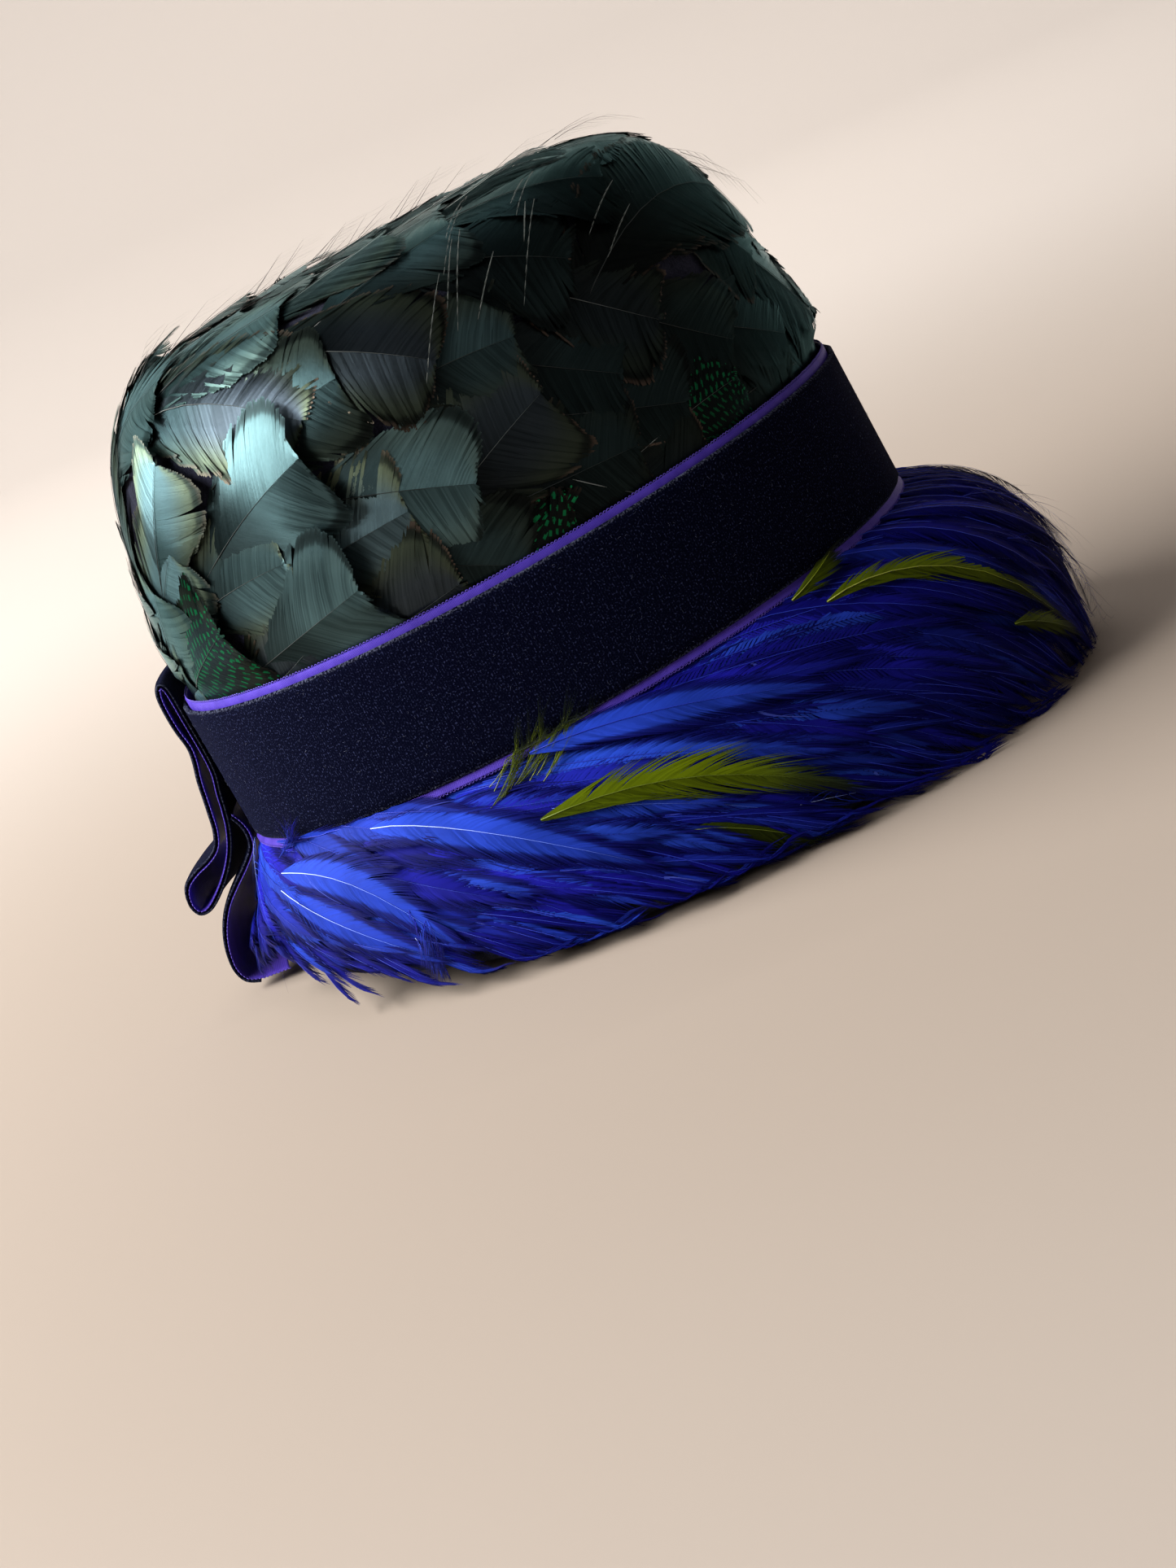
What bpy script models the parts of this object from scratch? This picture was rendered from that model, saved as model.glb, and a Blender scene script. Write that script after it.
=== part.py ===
"""Feather cloche hat: a felt body, a plumage cover on the crown, a velvet band laid on a satin
ribbon, a drooping brim of long feather locks, and a ribbon bow at the back.

Metres, +Z up, the wearer's front is -Y. Shapes are worked out in the band's own frame, whose
origin is the middle of the velvet band's lower edge, and are then leaned back onto the surface
that the hat rests on.
"""
import math

import bmesh
import bpy
import numpy as np

MM = 0.001

# Head hollow, as half axes of an egg that is narrower at the front
HEAD_HALF_LENGTH = 97.1 * MM
HEAD_HALF_WIDTH = 82.5 * MM
EGG = 0.07

# Crown above the band, as an outline of the form a**WALL + z**RISE = 1
BAND_HEIGHT = 41.0 * MM
CROWN_FOOT = 44.5 * MM
CROWN_TOP_INSIDE = 123.6 * MM
WALL_POWER = 7.3
RISE_POWER = 1.95
CROWN_FORWARD = 2.5 * MM
CROWN_BACK_RISE = 0.0114
CROWN_LEVELS = 7

# Layers, each as its distance outside the inner face of the felt
FELT = 2.0 * MM
COVER_INSIDE = 2.4 * MM
COVER_OUTSIDE = 4.0 * MM
SATIN_INSIDE = 4.6 * MM
SATIN_OUTSIDE = 5.4 * MM
VELVET_INSIDE = 5.8 * MM
VELVET_OUTSIDE = 7.2 * MM
SATIN_LOW = -2.4 * MM
SATIN_HIGH = 44.2 * MM
BAND_COLUMNS = 64

# Stance: how far the crown leans back, and where the band's centre is above the base
LEAN = math.radians(5.2)
BAND_CENTRE = (0.0, 2.1 * MM, 54.0 * MM)

# Rim: the sides lie flat on the surface, the front and back rise clear of it
RIM_LIFT = 8.0 * MM
RIM_FLAT = 0.25
FELT_EDGE_RISE = 3.5 * MM

# Crown plumage: feathers across and along, the height of a tip, and the depth of its round end.
# Relief shares run from a feather's root to its middle, and drop towards its edges
FEATHERS_ACROSS = 10
FEATHERS_ALONG = 11
COLUMNS_PER_FEATHER = 4
FEATHER_RELIEF = 1.5 * MM
FEATHER_ROUND = 0.45
FEATHER_STAGGER = 0.5
TIP_STEP = 0.07
ROOT_RELIEF = 0.12
MIDDLE_RELIEF = 0.6
EDGE_DROP = 0.35
COVER_HEM = 38.0 * MM
RELIEF_START = 44.8 * MM
RELIEF_FADE = 6.0 * MM

# Brim plumage: locks on each side, their forward sweep and their relief
LOCKS_PER_SIDE = 16
COLUMNS_PER_LOCK = 4
LOCK_SWEEP = 0.16
SWEEP_EASE = 0.8
LOCK_RELIEF = 2.2 * MM
LOCK_TOOTH = 5.0 * MM
LOCK_TOOTH_FULL_LIFT = 4.0 * MM
UPPER_TIER = 0.46
UPPER_POINT = 0.17
LOWER_RELIEF = 0.5
BRIM_TOP = 4.0 * MM
BRIM_ROOT = -2.8 * MM
RIM_WALL = 2.6 * MM
BACKING_CLEARANCE = 0.8 * MM
BACKING_EASE = 3.0

# Relief across a lock, steep on its leading edge: (share across the lock, share of the relief)
LOCK_PROFILE = [(0.0, 0.15), (0.25, 0.75), (0.5, 1.0), (0.75, 0.6), (1.0, 0.15)]
# Rows of each tier's outer face: (share down the tier, share of the relief)
UPPER_ROWS = [(0.0, 0.0), (0.3, 0.7), (0.65, 1.0), (1.0, 1.0)]
LOWER_ROWS = [(0.03, 0.35), (0.36, 0.8), (0.7, 1.0), (1.0, 0.0)]

# Brim sections: how far the rim stands out, and the pull point that bends the section
BRIM_SECTION = {
    "front": {"reach": 32.0 * MM, "pull_out": 40.0 * MM, "pull_down": 13.0 * MM},
    "side": {"reach": 28.0 * MM, "pull_out": 22.0 * MM, "pull_down": 14.0 * MM},
    "back": {"reach": 20.0 * MM, "pull_out": 11.0 * MM, "pull_down": 9.0 * MM},
}
FELT_INSET = 6.0 * MM
FELT_PULL_OUT = 0.12
FELT_PULL_DOWN = 0.45
FELT_SHARES = (0.0, 0.33, 0.66, 1.0)

# Bow: where it sits, the ribbon's width, and its two cloths, outside and inside of the route
BOW_OFFSET = 12.0 * MM
RIBBON_WIDTH = 41.0 * MM
RIBBON_BEND_RADIUS = 95.0 * MM
RIBBON_STRIPS = 3
BOW_TANGENT_STEP = 0.005
CLOTH_GAP = 0.15 * MM
VELVET_CLOTH = 1.0 * MM
SATIN_CLOTH = 0.6 * MM

# The loop's route, closed, in millimetres: stand off the band, height above its lower edge
LOOP_ROUTE = [
    (1.55, 45.0), (1.55, 36.0), (1.55, 26.0), (2.1, 19.5), (3.7, 14.0), (4.9, 9.0),
    (6.6, 3.6), (9.6, -2.2), (14.0, -7.6), (19.4, -12.2), (23.6, -14.6), (26.3, -14.2),
    (27.2, -10.8), (25.6, -6.4), (21.6, -4.0), (16.0, -2.2), (12.2, 0.2), (9.9, 4.4),
    (8.6, 9.5), (7.6, 14.0), (6.4, 19.5), (4.7, 25.0), (4.0, 29.5), (4.6, 35.0),
    (4.7, 40.5), (4.3, 45.5), (3.1, 48.3), (2.0, 47.8),
]
# The tail's route, from under the loop to its free end on the surface
TAIL_ROUTE = [
    (3.6, 6.2), (2.3, 3.0), (2.0, -0.5), (3.2, -4.4), (7.2, -8.2), (12.4, -12.0),
    (17.2, -15.8), (20.8, -20.0), (23.6, -25.0), (25.2, -30.0), (25.6, -34.4), (24.2, -38.0),
    (20.6, -39.9), (16.0, -40.6), (11.5, -41.0),
]
VELVET_TAIL_POINTS = 13

# Colours are base colours from the photograph
FINISHES = {
    "felt_body": ((0.012, 0.013, 0.022), 0.95, 0.0),
    "crown_feathers": ((0.020, 0.045, 0.042), 0.42, 0.25),
    "satin_band": ((0.130, 0.060, 0.480), 0.38, 0.0),
    "velvet_band": ((0.008, 0.009, 0.032), 0.92, 0.0),
    "brim_feathers": ((0.015, 0.035, 0.420), 0.60, 0.0),
    "bow_loop": ((0.008, 0.009, 0.032), 0.92, 0.0),
    "bow_loop_satin": ((0.130, 0.060, 0.480), 0.38, 0.0),
    "bow_tail": ((0.008, 0.009, 0.032), 0.92, 0.0),
    "bow_tail_satin": ((0.130, 0.060, 0.480), 0.38, 0.0),
}
SHARP_ANGLE = math.radians(35.0)

# Repeats and first bounds of the two searches for the crown's face
PLAN_REPEATS = 12
REACH_REPEATS = 40
FARTHEST_REACH = 300.0 * MM


def clear_scene():
    """Remove every object of the starting scene."""
    for thing in list(bpy.data.objects):
        bpy.data.objects.remove(thing, do_unlink=True)


def place(points):
    """Lean points of the band's frame back and set them on the base."""
    points = np.asarray(points, float)
    y = points[:, 1] * math.cos(LEAN) + points[:, 2] * math.sin(LEAN)
    z = points[:, 2] * math.cos(LEAN) - points[:, 1] * math.sin(LEAN)
    return np.stack([points[:, 0], y, z], 1) + np.array(BAND_CENTRE)


def height_for(surface_height, y):
    """Height in the band's frame of a point at y that stands at surface_height on the base."""
    return (surface_height - BAND_CENTRE[2] + y * math.sin(LEAN)) / math.cos(LEAN)


def finish_for(name):
    """Material of a piece."""
    colour, roughness, metallic = FINISHES[name]
    finish = bpy.data.materials.new(name)
    finish.use_nodes = True
    shader = finish.node_tree.nodes["Principled BSDF"]
    shader.inputs["Base Color"].default_value = (*colour, 1.0)
    shader.inputs["Roughness"].default_value = roughness
    shader.inputs["Metallic"].default_value = metallic
    finish.diffuse_color = (*colour, 1.0)
    return finish


def make_piece(name, points, faces):
    """Make the closed mesh object of a piece whose points are in the band's frame."""
    mesh = bpy.data.meshes.new(name)
    mesh.from_pydata([tuple(p) for p in place(points)], [], faces)
    work = bmesh.new()
    work.from_mesh(mesh)
    bmesh.ops.recalc_face_normals(work, faces=work.faces)
    work.to_mesh(mesh)
    work.free()
    mesh.shade_smooth()
    mesh.set_sharp_from_angle(angle=SHARP_ANGLE)
    mesh.materials.append(finish_for(name))
    bpy.context.collection.objects.link(bpy.data.objects.new(name, mesh))


def egg(angle, stand_off, scale=1.0):
    """Plan of the hat at an angle from the front, as x and y arrays."""
    angle = np.asarray(angle, float)
    x = (HEAD_HALF_WIDTH + stand_off) * scale * np.sin(angle) * (1.0 - EGG * np.cos(angle))
    y = -(HEAD_HALF_LENGTH + stand_off) * scale * np.cos(angle)
    return x, y


def ring_points(angle, stand_off, height, scale=1.0):
    """A ring of points at one height, or at a height for each angle."""
    x, y = egg(angle, stand_off, scale)
    return np.stack([x, y, np.broadcast_to(height, x.shape)], 1)


def lean_crown(points, stand_off):
    """Shift the crown's top forward and lift its back, more with height."""
    points = np.array(points, float)
    share = (points[:, 2] - CROWN_FOOT) / (CROWN_TOP_INSIDE + stand_off - CROWN_FOOT)
    share = np.clip(share, 0.0, None)
    points[:, 2] += CROWN_BACK_RISE * share * points[:, 1]
    points[:, 1] -= CROWN_FORWARD * share
    return points


def crown_levels(stand_off):
    """Scale and height of each crown ring, from the band up to the last one below the top."""
    rise = CROWN_TOP_INSIDE + stand_off - CROWN_FOOT
    levels = []
    for step in range(CROWN_LEVELS):
        turn = math.pi / 2 * math.sin(step / CROWN_LEVELS * math.pi / 2)
        scale = math.cos(turn) ** (2 / WALL_POWER)
        levels.append((scale, CROWN_FOOT + rise * math.sin(turn) ** (2 / RISE_POWER)))
    return levels


def crown_rings(angle, stand_off):
    """Rings of the crown, foot first, and its top point."""
    rings = [lean_crown(ring_points(angle, stand_off, height, scale), stand_off)
             for scale, height in crown_levels(stand_off)]
    top = lean_crown([(0.0, 0.0, CROWN_TOP_INSIDE + stand_off)], stand_off)
    return rings, top


def join_rings(first, second, count, closed=True):
    """Quads between two rows of points that start at the given indices."""
    last = count if closed else count - 1
    return [(first + i, first + (i + 1) % count, second + (i + 1) % count, second + i)
            for i in range(last)]


def fan(tip, start, count):
    """Triangles from a ring of points to a tip."""
    return [(tip, start + i, start + (i + 1) % count) for i in range(count)]


def by_side(angle, key):
    """Value of a brim section at each angle, eased between front, side and back."""
    front, side, back = (BRIM_SECTION[where][key] for where in ("front", "side", "back"))
    along = np.cos(angle)
    return (side + (front - side) * np.clip(along, 0, 1) ** 2
            + (back - side) * np.clip(-along, 0, 1) ** 2)


def rim_lift(angle):
    """Height of the rim above the base."""
    return RIM_LIFT * np.clip((np.abs(np.cos(angle)) - RIM_FLAT) / (1 - RIM_FLAT), 0, 1)


def rim_point(angle, reach, rise):
    """Reach and height of a point near the rim, rise above the rim's own height."""
    y = egg(angle, reach)[1]
    return reach, height_for(rim_lift(angle) + rise, y)


def bend(start, pull, end, share):
    """Quadratic curve between two points of a section, each a pair of arrays."""
    weights = ((1 - share) ** 2, 2 * share * (1 - share), share ** 2)
    return tuple(sum(w * p[k] for w, p in zip(weights, (start, pull, end))) for k in (0, 1))


def felt_brim_section(angle, share, stand_off):
    """Point of the felt brim's section, moved out square to it by stand_off."""
    end = rim_point(angle, by_side(angle, "reach") - FELT_INSET, FELT_EDGE_RISE)
    start = (np.zeros_like(angle), np.zeros_like(angle))
    pull = (end[0] * FELT_PULL_OUT, end[1] * FELT_PULL_DOWN)
    here = bend(start, pull, end, share)
    slope = tuple(2 * (1 - share) * (pull[k] - start[k]) + 2 * share * (end[k] - pull[k])
                  for k in (0, 1))
    length = np.hypot(*slope)
    return here[0] - slope[1] / length * stand_off, here[1] + slope[0] / length * stand_off


def felt_brim_ring(angle, share, stand_off):
    """Ring of the felt brim."""
    reach, height = felt_brim_section(angle, share, stand_off)
    return ring_points(angle, reach, height)


def lock_pattern():
    """Share of the way from back to front, and phase in its lock, of each brim column of a side."""
    per_side = LOCKS_PER_SIDE * COLUMNS_PER_LOCK
    side = np.arange(per_side + 1) / per_side
    phase = np.arange(per_side + 1) % COLUMNS_PER_LOCK / COLUMNS_PER_LOCK
    return side, phase


def lock_height(phase):
    """Relief across a lock: steep on its leading edge, easy on the other."""
    across, relief = zip(*LOCK_PROFILE)
    return np.interp(phase % 1.0, across, relief)


def lock_tooth(phase):
    """How far back from its point a lock ends, 0 at the point."""
    return np.abs(2.0 * (phase % 1.0) - 1.0)


def swept_angle(side, share):
    """Angle of a column at a share down the brim: locks sweep forward as they fall."""
    forward = side + LOCK_SWEEP * share * np.sin(math.pi * side) ** SWEEP_EASE
    return math.pi * (1.0 - forward)


def rim_row(angle, inset, tooth):
    """Reach and height along the rim, with the locks' points cut where it is off the base."""
    free = np.clip(rim_lift(angle) / LOCK_TOOTH_FULL_LIFT, 0, 1)
    return rim_point(angle, by_side(angle, "reach") - inset, (tooth - 0.5 * LOCK_TOOTH) * free)


def brim_outer_row(side, share, relief, tooth):
    """One row of the brim's outer face on one side of the hat."""
    angle = swept_angle(side, share)
    end = rim_row(angle, 0.0, tooth)
    start = (np.full_like(angle, COVER_OUTSIDE), np.full_like(angle, BRIM_ROOT))
    pull = (by_side(angle, "pull_out"), -by_side(angle, "pull_down"))
    out, down = bend(start, pull, end, share)
    return angle, out + relief, down


def both_sides(angle, out, down):
    """Full ring from the right side's half: back, round by the right, front, and back by the left."""
    right = ring_points(-angle, out, down)
    left = ring_points(angle, out, down)
    return np.concatenate([right, left[-2:0:-1]])


def build_brim_feathers():
    """Brim plumage: two tiers of pointed locks on one backing."""
    side, phase = lock_pattern()
    shifted = phase + 0.5
    rows = []
    straight = math.pi * (1.0 - side)
    none = np.zeros_like(side)
    rows.append(both_sides(straight, none + COVER_OUTSIDE, none + BRIM_TOP))
    edge = UPPER_TIER - UPPER_POINT * lock_tooth(phase)
    for share, relief in UPPER_ROWS:
        height = relief * LOCK_RELIEF * lock_height(phase)
        rows.append(both_sides(*brim_outer_row(side, edge * share, height, none)))
    tooth = LOCK_TOOTH * lock_tooth(shifted)
    for share, relief in LOWER_ROWS:
        height = relief * LOWER_RELIEF * LOCK_RELIEF * lock_height(shifted)
        rows.append(both_sides(*brim_outer_row(side, edge + (1 - edge) * share, height, tooth)))
    angle = swept_angle(side, 1.0)
    rows.append(both_sides(angle, *rim_row(angle, RIM_WALL, tooth)))
    for share in reversed(FELT_SHARES):
        bent = swept_angle(side, share)
        clear = COVER_INSIDE + BACKING_CLEARANCE * min(1.0, BACKING_EASE * share)
        reach, height = felt_brim_section(bent, share, clear)
        rows.append(both_sides(bent, reach, height))
    rows.append(both_sides(straight, none + COVER_INSIDE, none + BRIM_TOP))
    count = len(rows[0])
    faces = []
    for k in range(len(rows)):
        faces += join_rings(k * count, (k + 1) % len(rows) * count, count)
    make_piece("brim_feathers", np.concatenate(rows), faces)


def plan_scale(x, y, stand_off):
    """Scale at which the plan passes through a point, and the cosine of its angle."""
    cosine = np.zeros_like(x)
    scale = np.ones_like(x)
    for _ in range(PLAN_REPEATS):
        width = (HEAD_HALF_WIDTH + stand_off) * (1.0 - EGG * cosine)
        scale = np.hypot(x / width, y / (HEAD_HALF_LENGTH + stand_off))
        cosine = np.clip(-y / np.maximum(scale * (HEAD_HALF_LENGTH + stand_off), 1e-9), -1, 1)
    return scale, cosine


def dome_reach(way, stand_off):
    """Distance from the hem's centre to the crown's face along each direction."""
    low = np.zeros(len(way))
    high = np.full(len(way), FARTHEST_REACH)
    rise = CROWN_TOP_INSIDE + stand_off - CROWN_FOOT
    for _ in range(REACH_REPEATS):
        middle = (low + high) / 2
        at = way * middle[:, None]
        scale = plan_scale(at[:, 0], at[:, 1], stand_off)[0]
        climb = np.clip((at[:, 2] + COVER_HEM - CROWN_FOOT) / rise, 0, None)
        outside = scale ** WALL_POWER + climb ** RISE_POWER > 1
        high = np.where(outside, middle, high)
        low = np.where(outside, low, middle)
    return (low + high) / 2


def off_middle(row, across):
    """How far each column is from its feather's middle, from 0 there to 1 at its edge."""
    stagger = FEATHER_STAGGER * (row % 2)
    return np.abs(2 * ((across + stagger) % 1.0) - 1)


def tip_line(row, across):
    """Where a row of crown feathers ends, counted in rows from the back."""
    if row < 0:
        return np.zeros_like(across)
    if row >= FEATHERS_ALONG - 1:
        return np.full_like(across, float(FEATHERS_ALONG))
    return row + 1 - FEATHER_ROUND * off_middle(row, across) ** 2


def cover_rows():
    """Rows of the crown cover, back to front, as (position, relief) over its columns."""
    columns = FEATHERS_ACROSS * COLUMNS_PER_FEATHER
    across = np.arange(columns + 1) / COLUMNS_PER_FEATHER
    rows = []
    for row in range(FEATHERS_ALONG):
        crest = 1.0 - EDGE_DROP * off_middle(row, across) ** 2
        start = tip_line(row - 1, across) + TIP_STEP
        end = tip_line(row, across)
        if row > 0:
            rows.append((start, ROOT_RELIEF * crest))
        rows.append(((start + end) / 2, MIDDLE_RELIEF * crest))
        if row < FEATHERS_ALONG - 1:
            rows.append((end, crest))
    return rows


def build_crown_feathers():
    """Crown plumage: a shell whose outer face carries round feather ends laid back to front."""
    rows = cover_rows()
    columns = FEATHERS_ACROSS * COLUMNS_PER_FEATHER
    arch = math.pi * np.arange(columns + 1) / columns
    points = []
    hem_angles = []
    for position, relief in rows:
        turn = math.pi * position / FEATHERS_ALONG
        way = np.stack([-np.sin(turn) * np.cos(arch), np.cos(turn), np.sin(turn) * np.sin(arch)], 1)
        way[[0, -1], 2] = 0.0
        at = way * dome_reach(way, COVER_OUTSIDE)[:, None]
        at[:, 2] += COVER_HEM
        fade = np.clip((at[:, 2] - RELIEF_START) / RELIEF_FADE, 0, 1)
        at += way * (relief * fade * FEATHER_RELIEF)[:, None]
        points.append(lean_crown(at, COVER_OUTSIDE))
        hem_angles.append(float(np.arccos(plan_scale(at[:1, 0], at[:1, 1], COVER_OUTSIDE)[1][0])))
    angles = np.array([math.pi] + [-a for a in hem_angles] + [0.0] + hem_angles[::-1])
    poles = ring_points(np.array([math.pi, 0.0]), COVER_OUTSIDE, COVER_HEM)
    count = columns + 1
    cloud = np.concatenate(points + [poles])
    back_pole = len(rows) * count
    front_pole = back_pole + 1
    faces = []
    for k in range(len(rows) - 1):
        faces += join_rings(k * count, (k + 1) * count, count, closed=False)
    last = (len(rows) - 1) * count
    for i in range(columns):
        faces.append((back_pole, i, i + 1))
        faces.append((front_pole, last + i + 1, last + i))
    hem = [back_pole] + [k * count for k in range(len(rows))] + [front_pole]
    hem += [k * count + columns for k in reversed(range(len(rows)))]
    rings, top = crown_rings(angles, COVER_INSIDE)
    rings = [ring_points(angles, COVER_INSIDE, COVER_HEM)] + rings
    inner = len(cloud)
    size = len(angles)
    cloud = np.concatenate([cloud] + rings + [top])
    for i in range(size):
        faces.append((hem[i], hem[(i + 1) % size], inner + (i + 1) % size, inner + i))
    for k in range(len(rings) - 1):
        faces += join_rings(inner + k * size, inner + (k + 1) * size, size)
    faces += fan(len(cloud) - 1, inner + (len(rings) - 1) * size, size)
    make_piece("crown_feathers", cloud, faces)
    return angles


def build_felt_body(angles):
    """Felt crown and brim in one wall, open below for the head."""
    outer, outer_top = crown_rings(angles, FELT)
    inner, inner_top = crown_rings(angles, 0.0)
    rows = outer[::-1] + [felt_brim_ring(angles, share, FELT) for share in FELT_SHARES]
    rows += [felt_brim_ring(angles, share, 0.0) for share in reversed(FELT_SHARES)] + inner
    count = len(angles)
    cloud = np.concatenate(rows + [outer_top, inner_top])
    faces = fan(len(cloud) - 2, 0, count)
    for k in range(len(rows) - 1):
        faces += join_rings(k * count, (k + 1) * count, count)
    faces += fan(len(cloud) - 1, (len(rows) - 1) * count, count)
    make_piece("felt_body", cloud, faces)


def build_band(name, inside, outside, low, high):
    """Upright ring of ribbon round the crown."""
    angles = 2 * math.pi * np.arange(BAND_COLUMNS) / BAND_COLUMNS
    rows = [ring_points(angles, off, height)
            for off, height in ((inside, low), (outside, low), (outside, high), (inside, high))]
    faces = []
    for k in range(4):
        faces += join_rings(k * BAND_COLUMNS, (k + 1) % 4 * BAND_COLUMNS, BAND_COLUMNS)
    make_piece(name, np.concatenate(rows), faces)


def bow_frame():
    """Point on the velvet band behind which the bow sits, with its outward and sideways ways."""
    angle = math.pi - math.asin(BOW_OFFSET / (HEAD_HALF_WIDTH + VELVET_OUTSIDE) / (1 + EGG))
    here, ahead, behind = (np.array(egg(angle + turn, VELVET_OUTSIDE))
                           for turn in (0.0, -BOW_TANGENT_STEP, BOW_TANGENT_STEP))
    sideways = (ahead - behind) / np.linalg.norm(ahead - behind)
    outward = np.array([-sideways[1], sideways[0]])
    return here, outward, sideways


def route_offset(route, distance, closed):
    """Route moved square to itself, to the left of its run."""
    route = np.array(route, float) * MM
    if closed:
        before, after = np.roll(route, 1, 0), np.roll(route, -1, 0)
    else:
        before = np.concatenate([route[:1], route[:-1]])
        after = np.concatenate([route[1:], route[-1:]])
    run = after - before
    run /= np.linalg.norm(run, axis=1)[:, None]
    return route + distance * np.stack([-run[:, 1], run[:, 0]], 1)


def build_ribbon(name, route, near, far, closed):
    """Ribbon of the bow between two distances from its route."""
    here, outward, sideways = bow_frame()
    across = RIBBON_WIDTH * (np.arange(RIBBON_STRIPS + 1) / RIBBON_STRIPS - 0.5)
    layers = []
    for distance in (near, far):
        line = route_offset(route, distance, closed)
        for width in across:
            stand = line[:, 0] - width ** 2 / (2 * RIBBON_BEND_RADIUS)
            plan = here + outward * stand[:, None] + sideways * width
            layers.append(np.concatenate([plan, line[:, 1:]], 1))
    count = len(route)
    strips = RIBBON_STRIPS + 1
    faces = []
    for k in range(RIBBON_STRIPS):
        faces += join_rings(k * count, (k + 1) * count, count, closed)
        faces += join_rings((strips + k) * count, (strips + k + 1) * count, count, closed)
    for k in (0, RIBBON_STRIPS):
        faces += join_rings(k * count, (strips + k) * count, count, closed)
    if not closed:
        for end in (0, count - 1):
            faces += [(k * count + end, (k + 1) * count + end,
                       (strips + k + 1) * count + end, (strips + k) * count + end)
                      for k in range(RIBBON_STRIPS)]
    make_piece(name, np.concatenate(layers), faces)


def build_bow():
    """Flattened loop and tail, each of velvet with satin on its inner side."""
    build_ribbon("bow_loop", LOOP_ROUTE, -CLOTH_GAP, -CLOTH_GAP - VELVET_CLOTH, True)
    build_ribbon("bow_loop_satin", LOOP_ROUTE, CLOTH_GAP, CLOTH_GAP + SATIN_CLOTH, True)
    velvet_route = TAIL_ROUTE[:VELVET_TAIL_POINTS]
    build_ribbon("bow_tail", velvet_route, CLOTH_GAP, CLOTH_GAP + VELVET_CLOTH, False)
    build_ribbon("bow_tail_satin", TAIL_ROUTE, -CLOTH_GAP, -CLOTH_GAP - SATIN_CLOTH, False)


def build_hat():
    """Build every piece of the hat."""
    clear_scene()
    columns = build_crown_feathers()
    build_felt_body(columns[::2])
    build_band("satin_band", SATIN_INSIDE, SATIN_OUTSIDE, SATIN_LOW, SATIN_HIGH)
    build_band("velvet_band", VELVET_INSIDE, VELVET_OUTSIDE, 0.0, BAND_HEIGHT)
    build_brim_feathers()
    build_bow()


build_hat()
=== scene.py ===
"""Feather cloche hat, dressed over its fixed solids.

The crown wears broad iridescent feathers laid from back to front, the brim long blue hackles with
a few olive ones, and a midnight velvet ribbon over violet satin runs round the crown's foot into a
bow at the back. Metres, +Z up, the wearer's front is -Y.
"""
from __future__ import annotations

import logging
import math
from dataclasses import dataclass, replace
from enum import Enum
from functools import partialmethod

import bmesh
import bpy
import numpy as np
from mathutils import Matrix, Vector


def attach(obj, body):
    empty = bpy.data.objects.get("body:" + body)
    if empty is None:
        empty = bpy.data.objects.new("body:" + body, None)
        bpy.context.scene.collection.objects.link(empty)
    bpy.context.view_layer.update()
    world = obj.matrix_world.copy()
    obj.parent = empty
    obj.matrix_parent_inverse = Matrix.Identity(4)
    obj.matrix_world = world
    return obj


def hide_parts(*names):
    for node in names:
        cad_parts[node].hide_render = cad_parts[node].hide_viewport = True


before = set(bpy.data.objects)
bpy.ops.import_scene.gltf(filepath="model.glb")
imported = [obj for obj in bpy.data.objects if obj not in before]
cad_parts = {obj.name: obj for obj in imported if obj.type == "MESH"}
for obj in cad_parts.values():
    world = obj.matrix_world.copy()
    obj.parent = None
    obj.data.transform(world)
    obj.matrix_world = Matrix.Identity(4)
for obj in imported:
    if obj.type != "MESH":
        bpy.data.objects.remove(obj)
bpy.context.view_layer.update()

MM = 0.001
BODY = "root"
VECTOR = "FLOAT_VECTOR"
Pair = tuple[float, float]
Table = tuple[Pair, ...]
Triple = tuple[float, float, float]
Colour = Triple
Number = float | np.ndarray
log = logging.getLogger("hat")


class Slot(Enum):
    """Material slots of the record, one for each kind of finish."""

    FELT = "felt"
    CROWN = "crown_plumage"
    SATIN = "satin"
    VELVET = "velvet"
    BRIM = "brim_plumage"


class Side(Enum):
    """Side of the wearer, as the sign of x."""

    RIGHT = -1.0
    LEFT = 1.0


class Value:
    """Output of a node, which goes into sums as a number does."""

    def __init__(self, graph: Graph, socket: bpy.types.NodeSocket) -> None:
        """Hold an output of one of a graph's nodes."""
        self.graph = graph
        self.socket = socket

    def combined(self, operation: str, other: Value | float, swapped: bool = False) -> Value:
        """Result of a Math node on this value and another, or the other way round."""
        return self.graph.math(operation, *((other, self) if swapped else (self, other)))

    __add__ = partialmethod(combined, "ADD")
    __sub__ = partialmethod(combined, "SUBTRACT")
    __rsub__ = partialmethod(combined, "SUBTRACT", swapped=True)
    __mul__ = partialmethod(combined, "MULTIPLY")
    __truediv__ = partialmethod(combined, "DIVIDE")
    __rtruediv__ = partialmethod(combined, "DIVIDE", swapped=True)


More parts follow.
